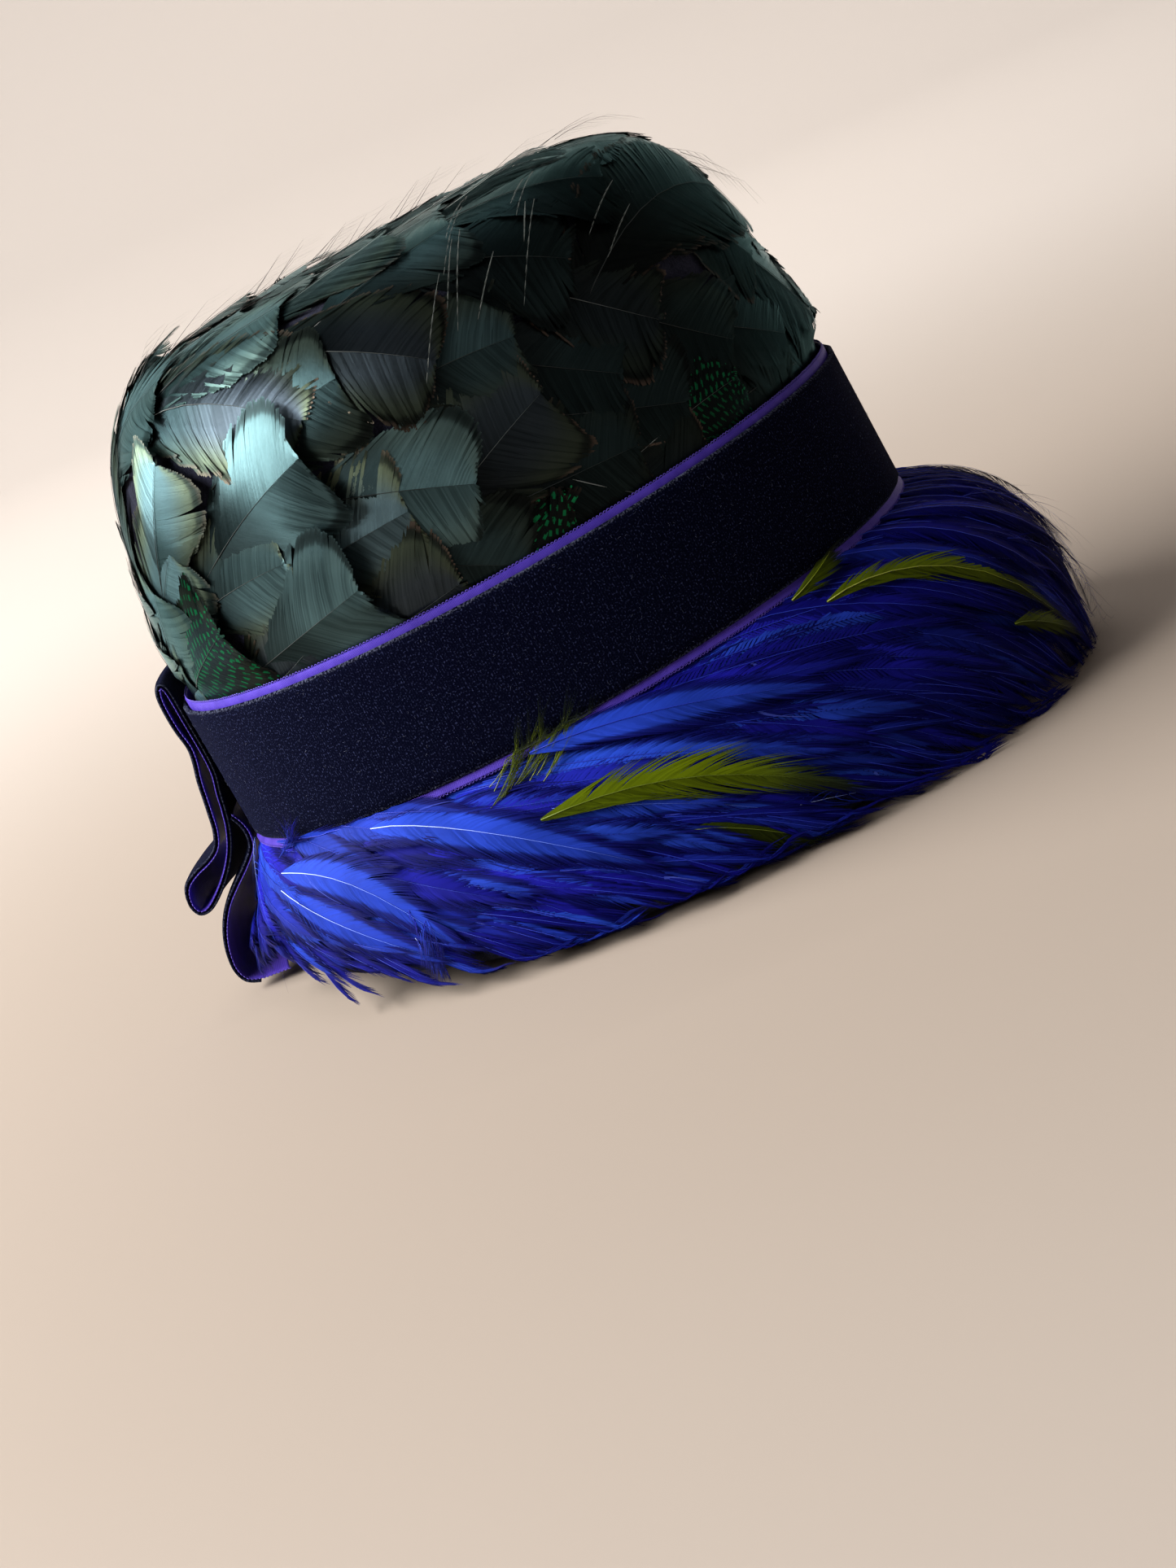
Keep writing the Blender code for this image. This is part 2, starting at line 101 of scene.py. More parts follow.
class Graph:
    """Builds a node tree one node at a time."""

    def __init__(self, tree: bpy.types.NodeTree) -> None:
        """Start on a shader or geometry tree."""
        self.tree = tree

    def node(self, kind: str, inputs: dict | None = None, **settings) -> bpy.types.Node:
        """Add a node.

        Args:
            kind: Blender's name of the node's type.
            inputs: Number, colour, vector or Value for each input, by its name or number.
            **settings: Properties of the node, set before its inputs.

        Returns:
            The node.
        """
        made = self.tree.nodes.new(kind)
        for name, value in settings.items():
            setattr(made, name, value)
        self.plug(made, inputs or {})
        return made

    def plug(self, node: bpy.types.Node, inputs: dict) -> None:
        """Link or set inputs of a node."""
        for key, value in inputs.items():
            if isinstance(value, Value):
                self.tree.links.new(value.socket, node.inputs[key])
            else:
                node.inputs[key].default_value = value

    def out(self, kind: str, inputs: dict | None = None, key: int | str = 0, **settings) -> Value:
        """Output of a new node, by its number or name."""
        return Value(self, self.node(kind, inputs, **settings).outputs[key])

    def math(self, operation: str, *values) -> Value:
        """Result of a Math node."""
        return self.out("ShaderNodeMath", dict(enumerate(values)), operation=operation)

    def vector(self, operation: str, *values) -> Value:
        """Result of a Vector Math node, whose second value is its scale for SCALE."""
        keys = (0, "Scale") if operation == "SCALE" else range(len(values))
        key = "Value" if operation in ("DOT_PRODUCT", "LENGTH") else "Vector"
        return self.out("ShaderNodeVectorMath", dict(zip(keys, values)), key, operation=operation)

    def parts(self, vector: Value) -> list[Value]:
        """The three numbers of a vector."""
        return [Value(self, socket) for socket in self.node("ShaderNodeSeparateXYZ", {0: vector}).outputs]

    def table(self, value: Value, rows: Table) -> Value:
        """Value read from a smooth curve through the rows of a table."""
        made = self.node("ShaderNodeFloatCurve", {"Value": value})
        curve = made.mapping.curves[0]
        while len(curve.points) < len(rows):
            curve.points.new(0.5, 0.5)
        for point, place in zip(curve.points, rows):
            point.location = place
        made.mapping.update()
        return Value(self, made.outputs[0])

    def smooth(self, value: Value, low: float, high: float) -> Value:
        """0 below low and 1 above high, eased between them; low may be the higher one."""
        return self.out("ShaderNodeMapRange", {0: value, 1: low, 2: high},
                        interpolation_type="SMOOTHSTEP")


class Shade(Graph):
    """Builds a material."""

    def __init__(self, name: str) -> None:
        """Start a material with a plain shader."""
        self.material = bpy.data.materials.new(name)
        self.material.use_nodes = True
        super().__init__(self.material.node_tree)
        self.shader = self.tree.nodes["Principled BSDF"]

    def fact(self, name: str) -> Value:
        """Number that the mesh keeps under a name."""
        return self.out("ShaderNodeAttribute", key="Fac", attribute_name=name)

    def blend(self, share: Value, first: Value | Colour, second: Value | Colour) -> Value:
        """Colour between two colours."""
        first, second = (c if isinstance(c, Value) else (*c, 1) for c in (first, second))
        return self.out("ShaderNodeMix", {0: share, 6: first, 7: second}, 2, data_type="RGBA")

    def place(self) -> Value:
        """Place on the object."""
        return self.out("ShaderNodeTexCoord", key="Object")

    def noise(self, place: Value, scale: float, detail: float, distortion: float = 0.0) -> Value:
        """Soft noise over a place, so many waves to the metre."""
        return self.out("ShaderNodeTexNoise", {"Vector": place, "Scale": scale, "Detail": detail,
                                               "Distortion": distortion})

    def finish(self, relief: tuple | None = None, **inputs) -> bpy.types.Material:
        """Set the shader's inputs and hand the material out.

        Args:
            relief: Height, strength and distance of its bump.
            **inputs: Value or constant for each input of the shader, with _ for a space.

        Returns:
            The material.
        """
        if relief:
            bump = dict(zip(("Height", "Strength", "Distance"), relief))
            inputs["Normal"] = self.out("ShaderNodeBump", bump)
        self.plug(self.shader, {key.replace("_", " "): value for key, value in inputs.items()})
        return self.material


class GeometryGraph(Graph):
    """Builds a Geometry Nodes tree with named inputs, for one kind of repeated detail."""

    def __init__(self, name: str) -> None:
        """Start a tree that takes and gives geometry."""
        super().__init__(bpy.data.node_groups.new(name, "GeometryNodeTree"))
        self.identifiers: dict[str, str] = {}
        for way in ("INPUT", "OUTPUT"):
            self.tree.interface.new_socket("Geometry", in_out=way, socket_type="NodeSocketGeometry")
        self.entry = self.node("NodeGroupInput")
        self.source = Value(self, self.entry.outputs[0])
        self.index = self.out("GeometryNodeInputIndex")
        self.position = self.out("GeometryNodeInputPosition")
        self.tangent = self.out("GeometryNodeInputTangent")

    def input(self, name: str, kind: str = "Float") -> Value:
        """Named input of the tree, of the kind Float, Int, Object or Material."""
        made = self.tree.interface.new_socket(name, in_out="INPUT", socket_type="NodeSocket" + kind)
        self.identifiers[name] = made.identifier
        return Value(self, self.entry.outputs[name])

    def read(self, name: str, kind: str = "FLOAT") -> Value:
        """Named attribute."""
        return self.out("GeometryNodeInputNamedAttribute", {"Name": name}, data_type=kind)

    def store(self, geometry: Value, name: str, value: Value, kind: str = "FLOAT") -> Value:
        """Geometry with a named attribute stored on its points."""
        return self.out("GeometryNodeStoreNamedAttribute",
                        {"Geometry": geometry, "Name": name, "Value": value}, data_type=kind)

    def random(self, low: float, high: float, ident: Value, seed: Value | int) -> Value:
        """Random number for each ident."""
        return self.out("FunctionNodeRandomValue", {2: low, 3: high, 7: ident, 8: seed}, 1,
                        data_type="FLOAT")

    def join(self, *parts: Value) -> Value:
        """Geometries joined into one."""
        joined = self.node("GeometryNodeJoinGeometry")
        for part in parts:
            self.tree.links.new(part.socket, joined.inputs[0])
        return Value(self, joined.outputs[0])

    def set_out(self, points: Value, instance: Value, **inputs) -> Value:
        """Real copies of a geometry on points."""
        copies = self.out("GeometryNodeInstanceOnPoints",
                          {"Points": points, "Instance": instance, **inputs})
        return self.out("GeometryNodeRealizeInstances", {0: copies})

    def swept(self, curve: Value, sides: int | None, scale: Value, material: Value) -> Value:
        """Flat strip, or tube with a number of sides, along a curve."""
        if sides:
            profile = self.out("GeometryNodeCurvePrimitiveCircle", {"Resolution": sides, "Radius": 1.0})
        else:
            profile = self.out("GeometryNodeCurvePrimitiveLine", {0: (0, -0.5, 0), 1: (0, 0.5, 0)})
        mesh = self.out("GeometryNodeCurveToMesh",
                        {"Curve": curve, "Profile Curve": profile, "Scale": scale, "Fill Caps": sides == 4})
        mesh = self.out("GeometryNodeSetShadeSmooth", {0: mesh})
        return self.out("GeometryNodeSetMaterial", {0: mesh, "Material": material})

    def finish(self, *parts: Value) -> None:
        """Join the parts, realize them and hand them out."""
        real = self.out("GeometryNodeRealizeInstances", {0: self.join(*parts)})
        self.node("NodeGroupOutput", {0: real})

    def run(self, name: str, source: bpy.types.Object, **values) -> bpy.types.Object:
        """Run the tree on a source object and keep the result as a plain mesh.

        Args:
            name: Name of the new piece.
            source: Object that the tree starts from, which is removed.
            **values: Values of the tree's named inputs, with _ for a space.

        Returns:
            The new piece.
        """
        modifier = source.modifiers.new("nodes", "NODES")
        modifier.node_group = self.tree
        for key, value in values.items():
            modifier[self.identifiers[key.replace("_", " ")]] = value
        graph = bpy.context.evaluated_depsgraph_get()
        mesh = bpy.data.meshes.new_from_object(source.evaluated_get(graph),
                                               preserve_all_data_layers=True, depsgraph=graph)
        mesh.name = name
        remove(source)
        return link(name, mesh)


def clip(value: float) -> float:
    """Value held between 0 and 1."""
    return min(max(value, 0.0), 1.0)


def turns(count: int) -> np.ndarray:
    """Angles of so many points spread evenly round a circle."""
    return np.linspace(0, math.tau, count, endpoint=False)


def link(name: str, mesh: bpy.types.Mesh) -> bpy.types.Object:
    """Put a mesh in the scene as an object at the origin."""
    piece = bpy.data.objects.new(name, mesh)
    bpy.context.scene.collection.objects.link(piece)
    return piece


def remove(piece: bpy.types.Object) -> None:
    """Take an object and its mesh out of the file."""
    mesh = piece.data
    bpy.data.objects.remove(piece)
    bpy.data.meshes.remove(mesh)


def mesh_piece(name: str, points: np.ndarray, faces: list) -> bpy.types.Object:
    """Object made of points and faces, shaded smooth.

    Args:
        name: Name of the piece.
        points: Its corners, in metres.
        faces: Tuples of corner numbers.

    Returns:
        The object.
    """
    mesh = bpy.data.meshes.new(name)
    mesh.from_pydata(np.asarray(points, float).tolist(), [], faces)
    mesh.shade_smooth()
    return link(name, mesh)


def grid_faces(rows: int, columns: int, round_columns: bool = False, round_rows: bool = False) -> list:
    """Quads of a grid of points that is stored row by row.

    Args:
        rows: Number of rows.
        columns: Points in a row.
        round_columns: Whether a row's last point joins its first.
        round_rows: Whether the last row joins the first.

    Returns:
        The quads.
    """
    faces = []
    for i in range(rows if round_rows else rows - 1):
        below, above = i * columns, (i + 1) % rows * columns
        for j in range(columns if round_columns else columns - 1):
            k = (j + 1) % columns
            faces.append((below + j, below + k, above + k, above + j))
    return faces


def keep(mesh: bpy.types.Mesh, name: str, values: np.ndarray, kind: str = "FLOAT") -> None:
    """Store a number or a vector for each point of a mesh."""
    layer = mesh.attributes.new(name, kind, "POINT")
    numbers = np.asarray(values, np.float32).ravel()
    layer.data.foreach_set("vector" if kind == VECTOR else "value", numbers)


def set_uv(piece: bpy.types.Object, along: np.ndarray, across: np.ndarray) -> None:
    """UV map of a piece, in metres of cloth, from a pair of values for each point."""
    layer = piece.data.uv_layers.new(name="cloth")
    corner = np.empty(len(piece.data.loops), np.int32)
    piece.data.loops.foreach_get("vertex_index", corner)
    layer.data.foreach_set("uv", np.stack([along[corner], across[corner]], 1).ravel())


def hand_over(piece: bpy.types.Object, slot: Slot, *nodes: str) -> None:
    """Let a finished piece ride on the hat and stand for the solids that it replaces."""
    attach(piece, BODY)
    if nodes:
        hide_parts(*nodes)
    log.info("%s: %d faces", piece.name, len(piece.data.polygons))


@dataclass(frozen=True)
class HatForm:
    """Shape of the hat in the band's own frame, from the sizes that drive its solids.

    The band's frame has its origin at the middle of the velvet's lower edge. Angles run round the
    hat from the front, and a stand-off is a distance outside the felt's inner face.
    """

    half_length: float = 97.1 * MM
    half_width: float = 82.5 * MM
    egg: float = 0.07
    foot: float = 44.5 * MM
    top: float = 123.6 * MM
    wall_power: float = 7.3
    rise_power: float = 1.95
    forward: float = 2.5 * MM
    back_rise: float = 0.0114
    hem: float = 38.0 * MM
    lean: float = math.radians(5.2)
    centre: Triple = (0.0, 2.1 * MM, 54.0 * MM)
    rim_lift: float = 8.0 * MM
    rim_flat: float = 0.25
    brim_out: float = 4.0 * MM
    brim_root: float = -2.8 * MM
    reach: Triple = (32.0 * MM, 28.0 * MM, 20.0 * MM)
    pull_out: Triple = (40.0 * MM, 22.0 * MM, 11.0 * MM)
    pull_down: Triple = (13.0 * MM, 14.0 * MM, 9.0 * MM)
    flare: Pair = (26.0 * MM, -5.0 * MM)
    climb: float = 50.0 * MM
    felt_inset: float = 6.0 * MM
    felt_edge_rise: float = 3.5 * MM
    felt_pull: Pair = (0.12, 0.45)

    def place(self, points: np.ndarray) -> np.ndarray:
        """Lean points of the band's frame back and set them on the base."""
        points = np.asarray(points, float)
        cosine, sine = math.cos(self.lean), math.sin(self.lean)
        y = points[..., 1] * cosine + points[..., 2] * sine
        z = points[..., 2] * cosine - points[..., 1] * sine
        return np.stack([points[..., 0], y, z], -1) + np.array(self.centre)

    def ring(self, angle: np.ndarray, stand_off: Number, height: Number, scale: float = 1.0) -> np.ndarray:
        """Points round the hat at angles from the front."""
        angle = np.asarray(angle, float)
        x = (self.half_width + stand_off) * scale * np.sin(angle) * (1.0 - self.egg * np.cos(angle))
        y = -(self.half_length + stand_off) * scale * np.cos(angle)
        return np.stack(np.broadcast_arrays(x, y, height), -1).astype(float)

    def leaned(self, points: np.ndarray, stand_off: float) -> np.ndarray:
        """Crown points with the top shifted forward and the back lifted, more with height."""
        share = (points[..., 2] - self.foot) / (self.top + stand_off - self.foot)
        share = np.clip(share, 0.0, None)
        moved = np.array(points)
        moved[..., 2] += self.back_rise * share * points[..., 1]
        moved[..., 1] -= self.forward * share
        return moved

    def plan_scale(self, x: np.ndarray, y: np.ndarray, stand_off: float) -> np.ndarray:
        """Scale at which the plan passes through a point."""
        cosine = np.zeros_like(x)
        for _ in range(10):
            width = (self.half_width + stand_off) * (1.0 - self.egg * cosine)
            scale = np.hypot(x / width, y / (self.half_length + stand_off))
            cosine = -y / np.maximum(scale * (self.half_length + stand_off), 1e-9)
        return scale

    def crown(self, run: np.ndarray, arch: np.ndarray, stand_off: float) -> np.ndarray:
        """Points on the crown.

        Args:
            run: Way from the back of the hem, 0, over the crown to its front, 1.
            arch: Way round that line, from the wearer's right hem, 0, to the left one, 1.
            stand_off: Distance outside the felt's inner face.

        Returns:
            Points in the band's frame.
        """
        turn, arc = np.pi * run, np.pi * arch
        way = np.stack([-np.sin(turn) * np.cos(arc), np.cos(turn),
                        np.sin(turn) * np.maximum(np.sin(arc), 0.0)], -1)
        low, high = np.zeros(run.shape), np.full(run.shape, 0.3)
        rise = self.top + stand_off - self.foot
        for _ in range(24):
            middle = (low + high) / 2
            at = way * middle[..., None]
            climb = np.clip((at[..., 2] + self.hem - self.foot) / rise, 0, None)
            scale = self.plan_scale(at[..., 0], at[..., 1], stand_off)
            outside = scale ** self.wall_power + climb ** self.rise_power > 1
            high = np.where(outside, middle, high)
            low = np.where(outside, low, middle)
        at = way * low[..., None]
        at[..., 2] += self.hem
        return self.leaned(at, stand_off)

    def by_side(self, angle: np.ndarray, values: Triple) -> np.ndarray:
        """Value eased between front, side and back."""
        front, side, back = values
        along = np.cos(angle)
        return (side + (front - side) * np.clip(along, 0, 1) ** 2
                + (back - side) * np.clip(-along, 0, 1) ** 2)

    def rim_raise(self, angle: np.ndarray) -> np.ndarray:
        """Share of its full rise that the rim has, 0 where it rests and 1 at the front and back."""
        return np.clip((np.abs(np.cos(angle)) - self.rim_flat) / (1 - self.rim_flat), 0, 1)

    def rim(self, angle: np.ndarray, reach: np.ndarray, rise: float) -> tuple[np.ndarray, np.ndarray]:
        """Reach and height of a point near the rim."""
        y = -(self.half_length + reach) * np.cos(angle)
        height = self.rim_lift * self.rim_raise(angle) + rise - self.centre[2] + y * math.sin(self.lean)
        return reach, height / math.cos(self.lean)

    def brim(self, angle: np.ndarray, share: np.ndarray, off: float = 0.0) -> np.ndarray:
        """Points on the plumage's face under the band, share 0 at the band and 1 at the rim.

        Above the band the surface runs up the crown's wall. Past the rim it runs straight on where
        the rim is raised, and outwards over the base where the rim rests.
        """
        angle, share = np.broadcast_arrays(np.asarray(angle, float), np.asarray(share, float))
        start = (self.brim_out, self.brim_root)
        pull = (self.by_side(angle, self.pull_out), -self.by_side(angle, self.pull_down))
        end = self.rim(angle, self.by_side(angle, self.reach), 0.0)
        inside = np.clip(share, 0, 1)
        beyond = np.clip(share - 1, 0, None)
        above = np.clip(-share, 0, None)
        raised = self.rim_raise(angle)
        place, slope = [], []
        for a, b, c, spread in zip(start, pull, end, self.flare):
            past = raised * 2 * (c - b) + (1 - raised) * spread
            place.append((1 - inside) ** 2 * a + 2 * inside * (1 - inside) * b + inside ** 2 * c
                         + beyond * past)
            slope.append(2 * (1 - inside) * (b - a) + 2 * inside * (c - b))
        length = np.hypot(*slope)
        out = place[0] - slope[1] / length * off
        up = place[1] + slope[0] / length * off + above * self.climb
        return self.ring(angle, out, up)

    def felt_brim(self, angle: np.ndarray, share: float, off: float) -> np.ndarray:
        """Ring of the felt brim, share 0 at the band's foot and 1 at its edge."""
        end = self.rim(angle, self.by_side(angle, self.reach) - self.felt_inset, self.felt_edge_rise)
        pull = tuple(e * p for e, p in zip(end, self.felt_pull))
        place = [2 * share * (1 - share) * b + share ** 2 * c for b, c in zip(pull, end)]
        slope = [2 * (1 - share) * b + 2 * share * (c - b) for b, c in zip(pull, end)]
        length = np.hypot(*slope)
        return self.ring(angle, place[0] - slope[1] / length * off, place[1] + slope[0] / length * off)


FORM = HatForm()


def make_guide(name: str, points: np.ndarray, room: np.ndarray, closed: bool) -> bpy.types.Object:
    """Smooth hidden surface that feathers lie on, with its normals and the room over it.

    Args:
        name: Name of the guide.
        points: Grid of points in the hat's frame, rows by columns.
        room: Share of their full height that feathers may have over each point.
        closed: Whether the grid's rows are rings.

    Returns:
        The guide.
    """
    rows, columns = points.shape[:2]
    guide = mesh_piece(name, points.reshape(-1, 3), grid_faces(rows, columns, closed))
    face = guide.data.polygons[len(guide.data.polygons) // 2]
    if face.normal.dot(face.center - Vector((0, 0, -0.1))) < 0:
        guide.data.flip_normals()
    normals = np.empty(rows * columns * 3, np.float32)
    guide.data.vertex_normals.foreach_get("vector", normals)
    keep(guide.data, "up", normals, VECTOR)
    keep(guide.data, "room", np.broadcast_to(room, (rows, columns)))
    guide.hide_render = True
    return guide


@dataclass(frozen=True)
class Vane:
    """Shape of a feather's vane. Tables run along the shaft from root, 0, to tip, 1."""

    across: Table
    ahead: Table
    strip: Table
    barbs: int
    points: int
    width: float
    quill: float
    cup: float
    parting: float
    ruffle: float
    stiff: float
    curl: float
    tilt: float
    uneven: float = 0.24


class FeatherTree(GeometryGraph):
    """Geometry Nodes tree that lays barbs down both sides of every shaft, over a guide."""

    STRANDS = (997.0, 1733.0, 391.0)
    CLUMPS = (13.0, 71.0, 5.0)
    CLUMP_COUNT = 9.0
    CLUMP_SHIFT = 0.37
    RAGGED = 3.2 * MM
    SIZES = ("Barb width", "Quill radius", "Cup", "Parting", "Ruffle", "Stiffness", "Curl", "Tilt", "Floor")
    KEPT = {"share", "along", "hand", "strand", "tone", "body", "grain", "kind", "material_index"}

    def __init__(self, name: str, vane: Vane) -> None:
        """Build the tree for one shape of vane."""
        super().__init__(name)
        self.vane = vane
        guide = self.input("Guide", "Object")
        barbs, count = (self.input(size, "Int") for size in ("Barbs", "Points"))
        (self.width, self.quill_radius, self.cup, self.parting, self.ruffle, self.stiff, self.curl,
         self.tilt, self.floor) = (self.input(size) for size in self.SIZES)
        self.seed = self.input("Seed", "Int")
        cloth, shaft = (self.input(part, "Material") for part in ("Vane finish", "Quill finish"))
        self.guide = self.out("GeometryNodeObjectInfo", {"Object": guide}, "Geometry")
        self.up = self.read("up", VECTOR)
        curves = self.out("GeometryNodeMeshToCurve", {0: self.source})
        self.finish(self.vanes(curves, barbs, count, cloth), self.quills(curves, shaft))

    def nearest(self, value: Value, place: Value, kind: str = VECTOR) -> Value:
        """Value of the guide's surface at the point nearest to a place."""
        return self.out("GeometryNodeSampleNearestSurface",
                        {"Mesh": self.guide, "Value": value, "Sample Position": place}, data_type=kind)

    def template(self, count: Value) -> Value:
        """Pair of unit barbs, whose points hold their share along and their hand."""
        offset = self.out("ShaderNodeCombineXYZ", {0: 1.0 / (count - 1.0)})
        pair = self.join(*(self.out("GeometryNodeMeshLine",
                                    {"Count": count, "Start Location": (0, hand, 0), "Offset": offset})
                           for hand in (1.0, -1.0)))
        x, y, _ = self.parts(self.position)
        return self.store(self.store(pair, "along", x), "hand", y)

    def vanes(self, curves: Value, barbs: Value, count: Value, material: Value) -> Value:
        """Barbs of every feather, as narrow strips."""
        roots = self.out("GeometryNodeResampleCurve", {"Curve": curves, "Count": barbs})
        roots = self.store(roots, "share", self.out("GeometryNodeSplineParameter", key="Factor"))
        for name, value in (("ahead", self.tangent), ("root", self.position),
                            ("face", self.nearest(self.up, self.position))):
            roots = self.store(roots, name, value, VECTOR)
        lines = self.store(self.set_out(roots, self.template(count)), "strand", self.strand())
        curve = self.out("GeometryNodeMeshToCurve", {0: self.bent(lines)})
        curve = self.store(curve, "grain", self.tangent, VECTOR)
        curve = self.out("GeometryNodeSetCurveNormal", {"Curve": curve, "Normal": self.tilted()},
                         mode="FREE")
        radius = self.width * self.table(self.read("along"), self.vane.strip) * self.read("size")
        curve = self.out("GeometryNodeSetCurveRadius", {0: curve, "Radius": radius})
        return self.swept(curve, None, radius, material)

    def strand(self) -> Value:
        """Random number of each barb."""
        by_share, by_feather, by_hand = self.STRANDS
        line = self.read("share") * by_share + self.read("feather") * by_feather
        return self.random(0.0, 1.0, line + self.read("hand") * by_hand, self.seed)

    def clump(self) -> Value:
        """Random number from -1 to 1 of each group of barbs that stays zipped together."""
        feather = self.read("feather")
        group = self.math("FLOOR", self.read("share") * self.CLUMP_COUNT + feather * self.CLUMP_SHIFT)
        by_group, by_feather, by_hand = self.CLUMPS
        key = group * by_group + feather * by_feather + self.read("hand") * by_hand
        return self.random(-1.0, 1.0, key, self.seed)

    def bent(self, lines: Value) -> Value:
        """Barbs curved from their shaft towards the tip and laid over the guide."""
        along, share, reach, length = (self.read(name) for name in ("along", "share", "reach", "length"))
        ahead = self.read("ahead", VECTOR)
        spread = self.read("strand") - 0.5
        square = along * along
        loose = self.clump() * self.parting * square
        bow = (along - square) * self.curl
        wide = (bow * 0.6 + along) * self.table(share, self.vane.across)
        wide = wide * (spread * (self.vane.uneven / 2) + 1.0) - loose * 0.35
        far = (along - bow) * self.table(share, self.vane.ahead)
        far = far * (spread * self.vane.uneven + 1.0) + loose * 0.6
        side = self.vector("NORMALIZE", self.vector("CROSS_PRODUCT", ahead, self.read("face", VECTOR)))
        sideways = self.vector("SCALE", side, wide * self.read("half") * self.read("hand"))
        forward = far * reach
        flat = self.vector("ADD", self.read("root", VECTOR), sideways)
        flat = self.vector("ADD", flat, self.vector("SCALE", ahead, forward))
        lines = self.store(lines, "body", (share * length + forward) / (length + reach * 0.35))
        place = self.laid(flat, self.height(wide, square, spread))
        lines = self.out("GeometryNodeSetPosition", {0: lines, "Position": place})
        return self.store(lines, "face", self.nearest(self.up, self.position), VECTOR)

    def height(self, wide: Value, square: Value, spread: Value) -> Value:
        """Height of a barb's point over the guide."""
        roll = wide * self.read("hand") * self.read("roll")
        total = self.read("height") - wide * wide * self.cup + roll
        total = total + self.clump() * square * self.ruffle + spread * square * self.ruffle
        return self.math("MAXIMUM", total, 0.05 * MM)

    def laid(self, flat: Value, height: Value) -> Value:
        """Place over the guide of a point of the flat feather, no lower than the ragged floor."""
        spot, face = self.nearest(self.position, flat), self.nearest(self.up, flat)
        off = self.vector("DOT_PRODUCT", self.vector("SUBTRACT", flat, spot), face)
        rise = (height + off * self.stiff) * self.nearest(self.read("room"), flat, "FLOAT")
        x, y, z = self.parts(self.vector("ADD", spot, self.vector("SCALE", face, rise)))
        strand = self.read("strand")
        low = self.math("MAXIMUM", z, strand * strand * self.RAGGED + self.floor)
        return self.out("ShaderNodeCombineXYZ", {0: x, 1: y, 2: low})

    def tilted(self) -> Value:
        """Direction that a strip faces, turned a little about its barb, so that strips glint apart."""
        face = self.read("face", VECTOR)
        side = self.vector("CROSS_PRODUCT", self.read("grain", VECTOR), face)
        turn = (self.read("strand") - 0.5) * self.tilt * (self.read("along") + 0.3)
        return self.vector("NORMALIZE", self.vector("ADD", face, self.vector("SCALE", side, turn)))

    def quills(self, curves: Value, material: Value) -> Value:
        """Shafts of the feathers, as thin tapered tubes."""
        shafts = self.store(curves, "share", self.out("GeometryNodeSplineParameter", key="Factor"))
        shafts = self.store(shafts, "strand", self.random(0.0, 1.0, self.read("feather"), self.seed))
        place = self.laid(self.position, self.read("height") + self.quill_radius * 1.6)
        shafts = self.out("GeometryNodeSetPosition", {0: shafts, "Position": place})
        return self.swept(shafts, 4, self.quill_radius * (self.read("share") * -0.85 + 1.0), material)

    def lay(self, name: str, shafts: Shafts, guide: bpy.types.Object, cloth: bpy.types.Material,
            quill: bpy.types.Material, floor: float, seed: int) -> bpy.types.Object:
        """Lay the feathers of one piece.

        Args:
            name: Name of the piece.
            shafts: Shafts of its feathers.
            guide: Surface that they lie on.
            cloth: Finish of the vanes.
            quill: Finish of the shafts.
            floor: Height that nothing goes below.
            seed: Seed of the barbs' random numbers.

        Returns:
            The piece, a plain mesh.
        """
        vane = self.vane
        piece = self.run(name, shafts.source(name), Guide=guide, Barbs=vane.barbs, Points=vane.points,
                         Barb_width=vane.width, Quill_radius=vane.quill, Cup=vane.cup,
                         Parting=vane.parting, Ruffle=vane.ruffle, Stiffness=vane.stiff, Curl=vane.curl,
                         Tilt=vane.tilt, Floor=floor, Seed=seed, Vane_finish=cloth, Quill_finish=quill)
        for layer in [a.name for a in piece.data.attributes]:
            given = piece.data.attributes[layer]
            if not given.is_internal and not given.is_required and layer not in self.KEPT:
                piece.data.attributes.remove(given)
        return piece


class Shafts:
    """Shafts of a piece's feathers, as lines of points with a few values each."""

    VALUES = ("height", "half", "reach", "length", "roll", "size", "tone", "kind", "feather")

    def __init__(self) -> None:
        """Start with no feathers."""
        self.lines: list[np.ndarray] = []
        self.values: dict[str, list[np.ndarray]] = {name: [] for name in self.VALUES}

    def add(self, line: np.ndarray, height: np.ndarray, **values: float) -> None:
        """Add a feather.

        Args:
            line: Points of its shaft, root first, in the hat's frame.
            height: Height of each point over the guide.
            **values: Its half width, reach of its barbs, roll, barb size, tone and kind.
        """
        length = float(np.linalg.norm(np.diff(line, axis=0), axis=1).sum())
        given = {**values, "length": length, "feather": float(len(self.lines))}
        self.lines.append(line)
        for name in self.VALUES:
            value = height if name == "height" else given[name]
            self.values[name].append(np.broadcast_to(value, len(line)))

    def source(self, name: str) -> bpy.types.Object:
        """Mesh of edges that a feather tree starts from."""
        points = np.concatenate(self.lines)
        edges, start = [], 0
        for line in self.lines:
            edges += [(start + i, start + i + 1) for i in range(len(line) - 1)]
            start += len(line)
        mesh = bpy.data.meshes.new(name + "_shafts")
        mesh.from_pydata(points.tolist(), edges, [])
        for key, rows in self.values.items():
            keep(mesh, key, np.concatenate(rows))
        return link(mesh.name, mesh)


